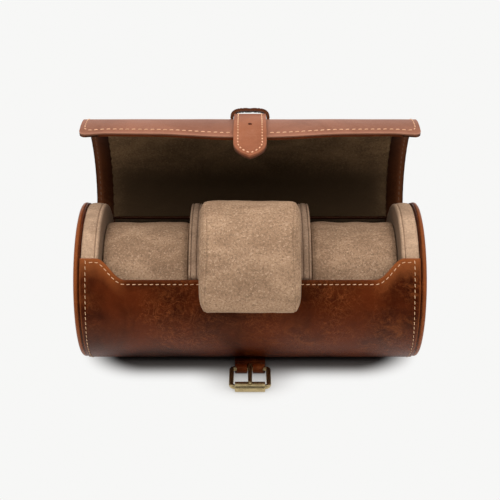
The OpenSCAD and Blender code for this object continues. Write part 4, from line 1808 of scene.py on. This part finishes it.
@dataclass
class Buckle:
    """Roller buckle on a short strap sewn under the case."""

    shop: Workshop
    root: tuple[float, float] = (-26.5, 1.65)
    slope: float = 8.5
    reach: float = 11.0
    thick: float = 1.35
    fold_r: float = 2.35
    slot: float = 4.2
    length: float = 22.6
    wire: float = 1.5
    front_r: float = 2.9
    rear_r: float = 1.75
    drum: float = 3.2
    lip_at: float = 5.2
    half: float = 9.7
    loop_r: float = 2.6
    bar: tuple[float, float] = field(init=False)

    def __post_init__(self) -> None:
        """Works out where the buckle's bar is."""
        a = math.radians(self.slope)
        self.bar = (self.root[0] - self.reach * math.cos(a), self.root[1] + self.reach * math.sin(a))

    def strap(self) -> None:
        """One ply that runs out, round the bar and back over itself, with a slot for the prong.

        Its section is a straight run, half a circle about the bar and a run that
        sinks onto the first one; it is up to 16% narrower round the bar.
        """
        a, r, reach = math.radians(self.slope), self.fold_r, self.reach
        along, up = np.array([-math.cos(a), math.sin(a)]), np.array([math.sin(a), math.cos(a)])
        turn = np.linspace(-QUARTER, QUARTER, 22)[1:-1]
        s = np.concatenate([np.linspace(0.6, reach, 14), reach + r * np.cos(turn), np.linspace(reach, 2.2, 16)])
        high = np.concatenate([np.linspace(-0.72, -r, 14), r * np.sin(turn),
                               r - (r - 0.70) * ease(np.linspace(0, 1.5, 16))])
        line = np.array(self.root) + s[:, None] * along + high[:, None] * up
        part = np.array([0.198, 0.4, 0.6, 0.8, 0.95, 1.0])
        x = np.concatenate([-part[::-1], part])[:, None] * self.half
        fit = 1 - 0.16 * np.clip((s - reach + 1.2) / (r + 1.2), 0, 1) ** 2.4
        grid = stack(x * fit, line[:, 0], line[:, 1])
        faces = grid_faces(*grid.shape[:2])
        row, column = np.divmod(faces[:, 0], grid.shape[1])
        cut = (row == 5) & (s[column] > reach - self.slot)
        obj = link("Buckle_Strap", (grid.reshape(-1, 3) * MM).tolist(), faces[~cut].tolist())
        m = obj.modifiers.new("Thickness", "SOLIDIFY")
        m.thickness, m.offset = self.thick * MM, 0.0
        self.shop.bevel(obj, 0.3)
        self.shop.ready(obj, Body.STRAP, "body_leather", "buckle_strap")
        q = line[-14:-1]
        d = np.gradient(q, axis=0)
        n = unit(np.stack([d[:, 1], -d[:, 0]], -1))
        n *= np.sign(n[:, 1:])
        q = q + n * (self.thick / 2 - 0.05)
        parts = [thread(stack(x, q[:, 0], q[:, 1]), stack(0.0, n[:, 0], n[:, 1]), 3.4, 0.24)
                 for x in (2.2 - self.half, self.half - 2.2)]
        self.shop.piece("Buckle_Strap_Stitching", parts, Body.STRAP, "dark_thread")

    def frame(self) -> None:
        """Wire bent into a rounded square, joined at the rear bar: four quarter circles and straight runs."""
        w, front, rear = self.half + 0.45 + self.wire, self.front_r, self.rear_r
        y0, y1 = self.bar[0], self.bar[0] - self.length
        q = np.linspace(0, QUARTER, 8)
        corners = ((w, y1, front, 1, 1, -QUARTER), (w, y0, rear, 1, -1, 0.0), (-w, y0, rear, -1, -1, QUARTER),
                   (-w, y1, front, -1, 1, HALF_TURN))
        arcs = [np.stack([x - sx * r + r * np.cos(q + a), y + sy * r + r * np.sin(q + a)], -1)
                for x, y, r, sx, sy, a in corners]
        runs = [arc[-1] + (after[0] - arc[-1]) * np.linspace(0, 1, 8)[1:-1, None]
                for arc, after in zip(arcs, arcs[1:] + arcs[:1])]
        line = np.concatenate([part for pair in zip(arcs, runs) for part in pair])
        path = stack(line[:, 0], line[:, 1], self.bar[1])
        bar = tube(path, self.wire, np.array([0, 0, 1.0]), 16, closed=True)
        self.shop.piece("Buckle_Frame", [bar], Body.BUCKLE, "antique_brass", "buckle_frame", crisp=70)

    def roller(self) -> None:
        """Sleeve rolled from sheet round the front bar: a turned profile with a dark lip where it meets."""
        y, z, d = self.bar[0] - self.length, self.bar[1], self.drum
        end = np.array([(-9.4, 1.7), (-9.4, d - 0.5), (-9.3, d - 0.17), (-9.0, d - 0.02), (-4, d)])
        prof = np.concatenate([end, [(0, d)], end[::-1] * [-1, 1], [(0, 1.65)]])
        a = np.linspace(0, TURN, 48, endpoint=False)
        r = prof[:, 1:] * np.where(prof[:, 1:] > 2.6, 1 - 0.09 * bell(a - self.lip_at, 0.06), 1.0)
        sleeve = torus(stack(prof[:, :1], y + r * np.cos(a), z + r * np.sin(a)))
        self.shop.piece("Buckle_Roller", [sleeve], Body.ROLLER, "antique_brass", "buckle_roller", crisp=50,
                        edge=np.tile(bell(a - self.lip_at, 0.09), len(prof)))

    def prong(self) -> None:
        """Tongue: looped over the bar, lying on the roller, drawn thinner to its tip."""
        y, z = self.bar
        t = np.linspace(2.3, -0.15, 18)
        loop = np.stack([y + self.loop_r * np.sin(t), z + self.loop_r * np.cos(t)], -1)
        end = np.array([y - self.length, z + self.drum + 0.95])
        s = np.linspace(0, 1, 22)[1:]
        rod = loop[-1] + (end - loop[-1]) * np.stack([s, ease(s)], -1)
        rod[:, 1] -= 0.25 * np.sin(HALF_TURN * s)
        tip = end - np.stack([np.linspace(0.5, 2.6, 7), 0.45 * np.linspace(0, 1, 7) ** 2], -1)
        line = np.concatenate([loop, rod, tip])
        radius = np.concatenate([np.full(len(loop), 1.45), 1.3 + 0.15 * np.exp(-np.arange(len(rod)) / 1.5),
                                 np.linspace(1.28, 0.6, 7)])
        bar = tube(stack(0.0, line[:, 0], line[:, 1]), radius, ACROSS, 14, flat=0.62)
        self.shop.piece("Buckle_Prong", [bar], Body.PRONG, "antique_brass", "buckle_prong", crisp=70)

    def build(self) -> None:
        """Builds the buckle's pieces."""
        self.strap()
        self.frame()
        self.roller()
        self.prong()


# ---- the studio --------------------------------------------------------------

@dataclass
class Studio:
    """Pale floor, soft lights and the camera."""

    focal_px: float = 1085.0
    picture_px: float = 500.0
    camera: Point = (0.0, -642.03, 346.78)
    down_deg: float = 23.36
    white: RGB = (0.93, 0.93, 0.93 * 0.99)
    under: RGB = (0.20, 0.185, 0.175)
    dim: float = 0.15
    top_power: float = 28.0
    side_power: float = 0.8

    def area(self, name: str, place: Point, aim: Point, size: tuple[float, float], power: float) -> None:
        """One soft light that glossy rays don't see.

        Args:
            name: its name.
            place: where it hangs, in metres.
            aim: what it points at.
            size: width and height.
            power: in watts.
        """
        data = bpy.data.lights.new(name, "AREA")
        data.shape, data.size, data.size_y, data.energy = "RECTANGLE", *size, power
        obj = bpy.data.objects.new(name, data)
        obj.location = place
        obj.rotation_euler = (Vector(aim) - Vector(place)).to_track_quat("-Z", "Y").to_euler()
        bpy.context.scene.collection.objects.link(obj)
        obj.visible_glossy = False

    def seen(self, net: Net) -> Val:
        """Picks the rays that show the background: from the camera, or by way of metal or glass.

        Args:
            net: the net to write in.

        Returns:
            1 for those rays, 0 for others.
        """
        camera, glossy, through = (net.node("ShaderNodeLightPath", {}, out=f"Is {kind} Ray")
                                   for kind in ("Camera", "Glossy", "Transmission"))
        return (camera + glossy + through).ramp(0.0, 1.0, False)

    def floor(self) -> None:
        """White floor whose shadow is kept within a hand's breadth of the case.

        Beyond that the floor shows the background's own even white. Right under
        the case it is a darker grey, which deepens the contact shadow.
        """
        floor = link("Floor", [(-6, -6, 0), (6, -6, 0), (6, 6, 0), (-6, 6, 0)], [(0, 1, 2, 3)])
        material = bpy.data.materials.new("Floor")
        net = Net(material)
        away = net.vector("SUBTRACT", net.vector("ABSOLUTE", net.place), (0.067, 0.004, 0.0))
        far = net.vector("LENGTH", net.vector("MAXIMUM", away, (0.0, 0.0, 0.0)), out="Value").ramp(0.022, 0.047)
        # painted shadow round the buckle: the darker grey reaches further there and less white shows
        near = net.vector("DISTANCE", net.place, (0.0, -0.040, 0.0), out="Value")
        far = far * (0.45 + 0.55 * near.ramp(0.014, 0.040))
        glow, black, white = far * self.seen(net), rgba((0.0, 0.0, 0.0)), rgba(self.white)
        net.dress(Base_Color=net.mix(glow, net.mix(far, rgba(self.under), white), black), Roughness=1.0,
                  Specular_IOR_Level=0.0, Emission_Color=net.mix(glow, black, white), Emission_Strength=1.0)
        floor.data.materials.append(material)

    def world(self) -> None:
        """Dim surroundings, and an even white where the background shows."""
        world = bpy.data.worlds.new("World")
        bpy.context.scene.world = world
        net = Net(world)
        dim = net.node("ShaderNodeBackground", {}, rgba((1.0, 1.0, 1.0)), self.dim)
        white = net.node("ShaderNodeBackground", {}, rgba(self.white))
        mixed = net.node("ShaderNodeMixShader", {}, self.seen(net), dim, white)
        net.fill(net.tree.nodes["World Output"].inputs["Surface"], mixed)

    def flag(self) -> None:
        """Black card under the camera's view that keeps the front of the leather deep.

        It shades reflections only, as a card in a studio does, and no camera sees it.
        """
        near = [(-0.8, -0.100, 0.002), (0.8, -0.100, 0.002), (0.8, -0.20, 0.004), (-0.8, -0.20, 0.004)]
        far = [(0.8, -0.62, 0.30), (-0.8, -0.62, 0.30), (0.9, -0.66, 0.62), (-0.9, -0.66, 0.62)]
        card = link("Flag", near + far, [(0, 1, 2, 3), (3, 2, 4, 5), (5, 4, 6, 7)])
        material = bpy.data.materials.new("Flag")
        Net(material).dress(Base_Color=rgba((0.004, 0.004, 0.004)), Roughness=1.0, Specular_IOR_Level=0.0)
        card.data.materials.append(material)
        card.visible_camera = card.visible_shadow = card.visible_diffuse = False

    def build(self) -> None:
        """Sets the stage."""
        scene = bpy.context.scene
        scene.view_settings.view_transform = "Standard"
        data = bpy.data.cameras.new("Camera")
        data.sensor_width, data.clip_start, data.clip_end = 36.0, 0.01, 50
        data.lens = self.focal_px * data.sensor_width / self.picture_px
        camera = bpy.data.objects.new("Camera", data)
        camera.location = tuple(v * MM for v in self.camera)
        camera.rotation_euler = (math.radians(90 - self.down_deg), 0, 0)
        scene.collection.objects.link(camera)
        scene.camera = camera
        self.floor()
        self.world()
        self.flag()
        self.area("Top", (0.0, -0.38, 1.12), (0, -0.02, 0.05), (2.3, 1.7), self.top_power)
        for x in (-1.05, 1.05):
            self.area("Side", (x, -0.45, 0.55), (0, 0, 0.07), (0.7, 0.7), self.side_power)


def cushions(shop: Workshop) -> list[Cushion]:
    """The two cushions in their compartments and the one drawn out over the front edge.

    Args:
        shop: the workshop.

    Returns:
        The cushions, to be built.
    """
    inner, outer, gap = S.divider_in + S.divider_w, S.block_face, 0.4
    made = []
    snug = {"dome": 1.7, "reach": 4.5, "waist": 0.3, "sunk": 0.15, "shade": 0.5}
    for side, body, seed in ((Side.LEFT, Body.LEFT, 11), (Side.RIGHT, Body.RIGHT, 37)):
        nodes = [f"cushion_{side}_{part}" for part in ("wrap", "inner_side", "outer_side", "foam")]
        shape = CushionShape(side.value * (inner + outer) / 2, (outer - inner) / 2 - gap)
        made.append(Cushion(shop, str(side), body, shape, nodes, seed, **snug))
    nodes = [f"cushion_middle_{part}" for part in ("wrap", "left_side", "right_side", "foam")]
    drawn = CushionShape(x=0.0, half=30.1, out=45.08, up=-0.7)
    return [*made, Cushion(shop, "middle", Body.MIDDLE, drawn, nodes, 23)]


def main() -> None:
    """Builds the case in order."""
    logging.basicConfig(level=logging.INFO, format="%(name)s %(message)s")
    Studio().build()
    finishes = Finishes()
    finishes.dress_nodes({s["node"]: s["material_slot"] for s in frame["record"]["subparts"]})
    shop = Workshop(finishes)
    for piece in (TubeBody(shop), *cushions(shop), Lid(shop), Hinge(shop), ClosureStrap(shop), Buckle(shop)):
        piece.build()


if __name__ == "__main__":
    main()
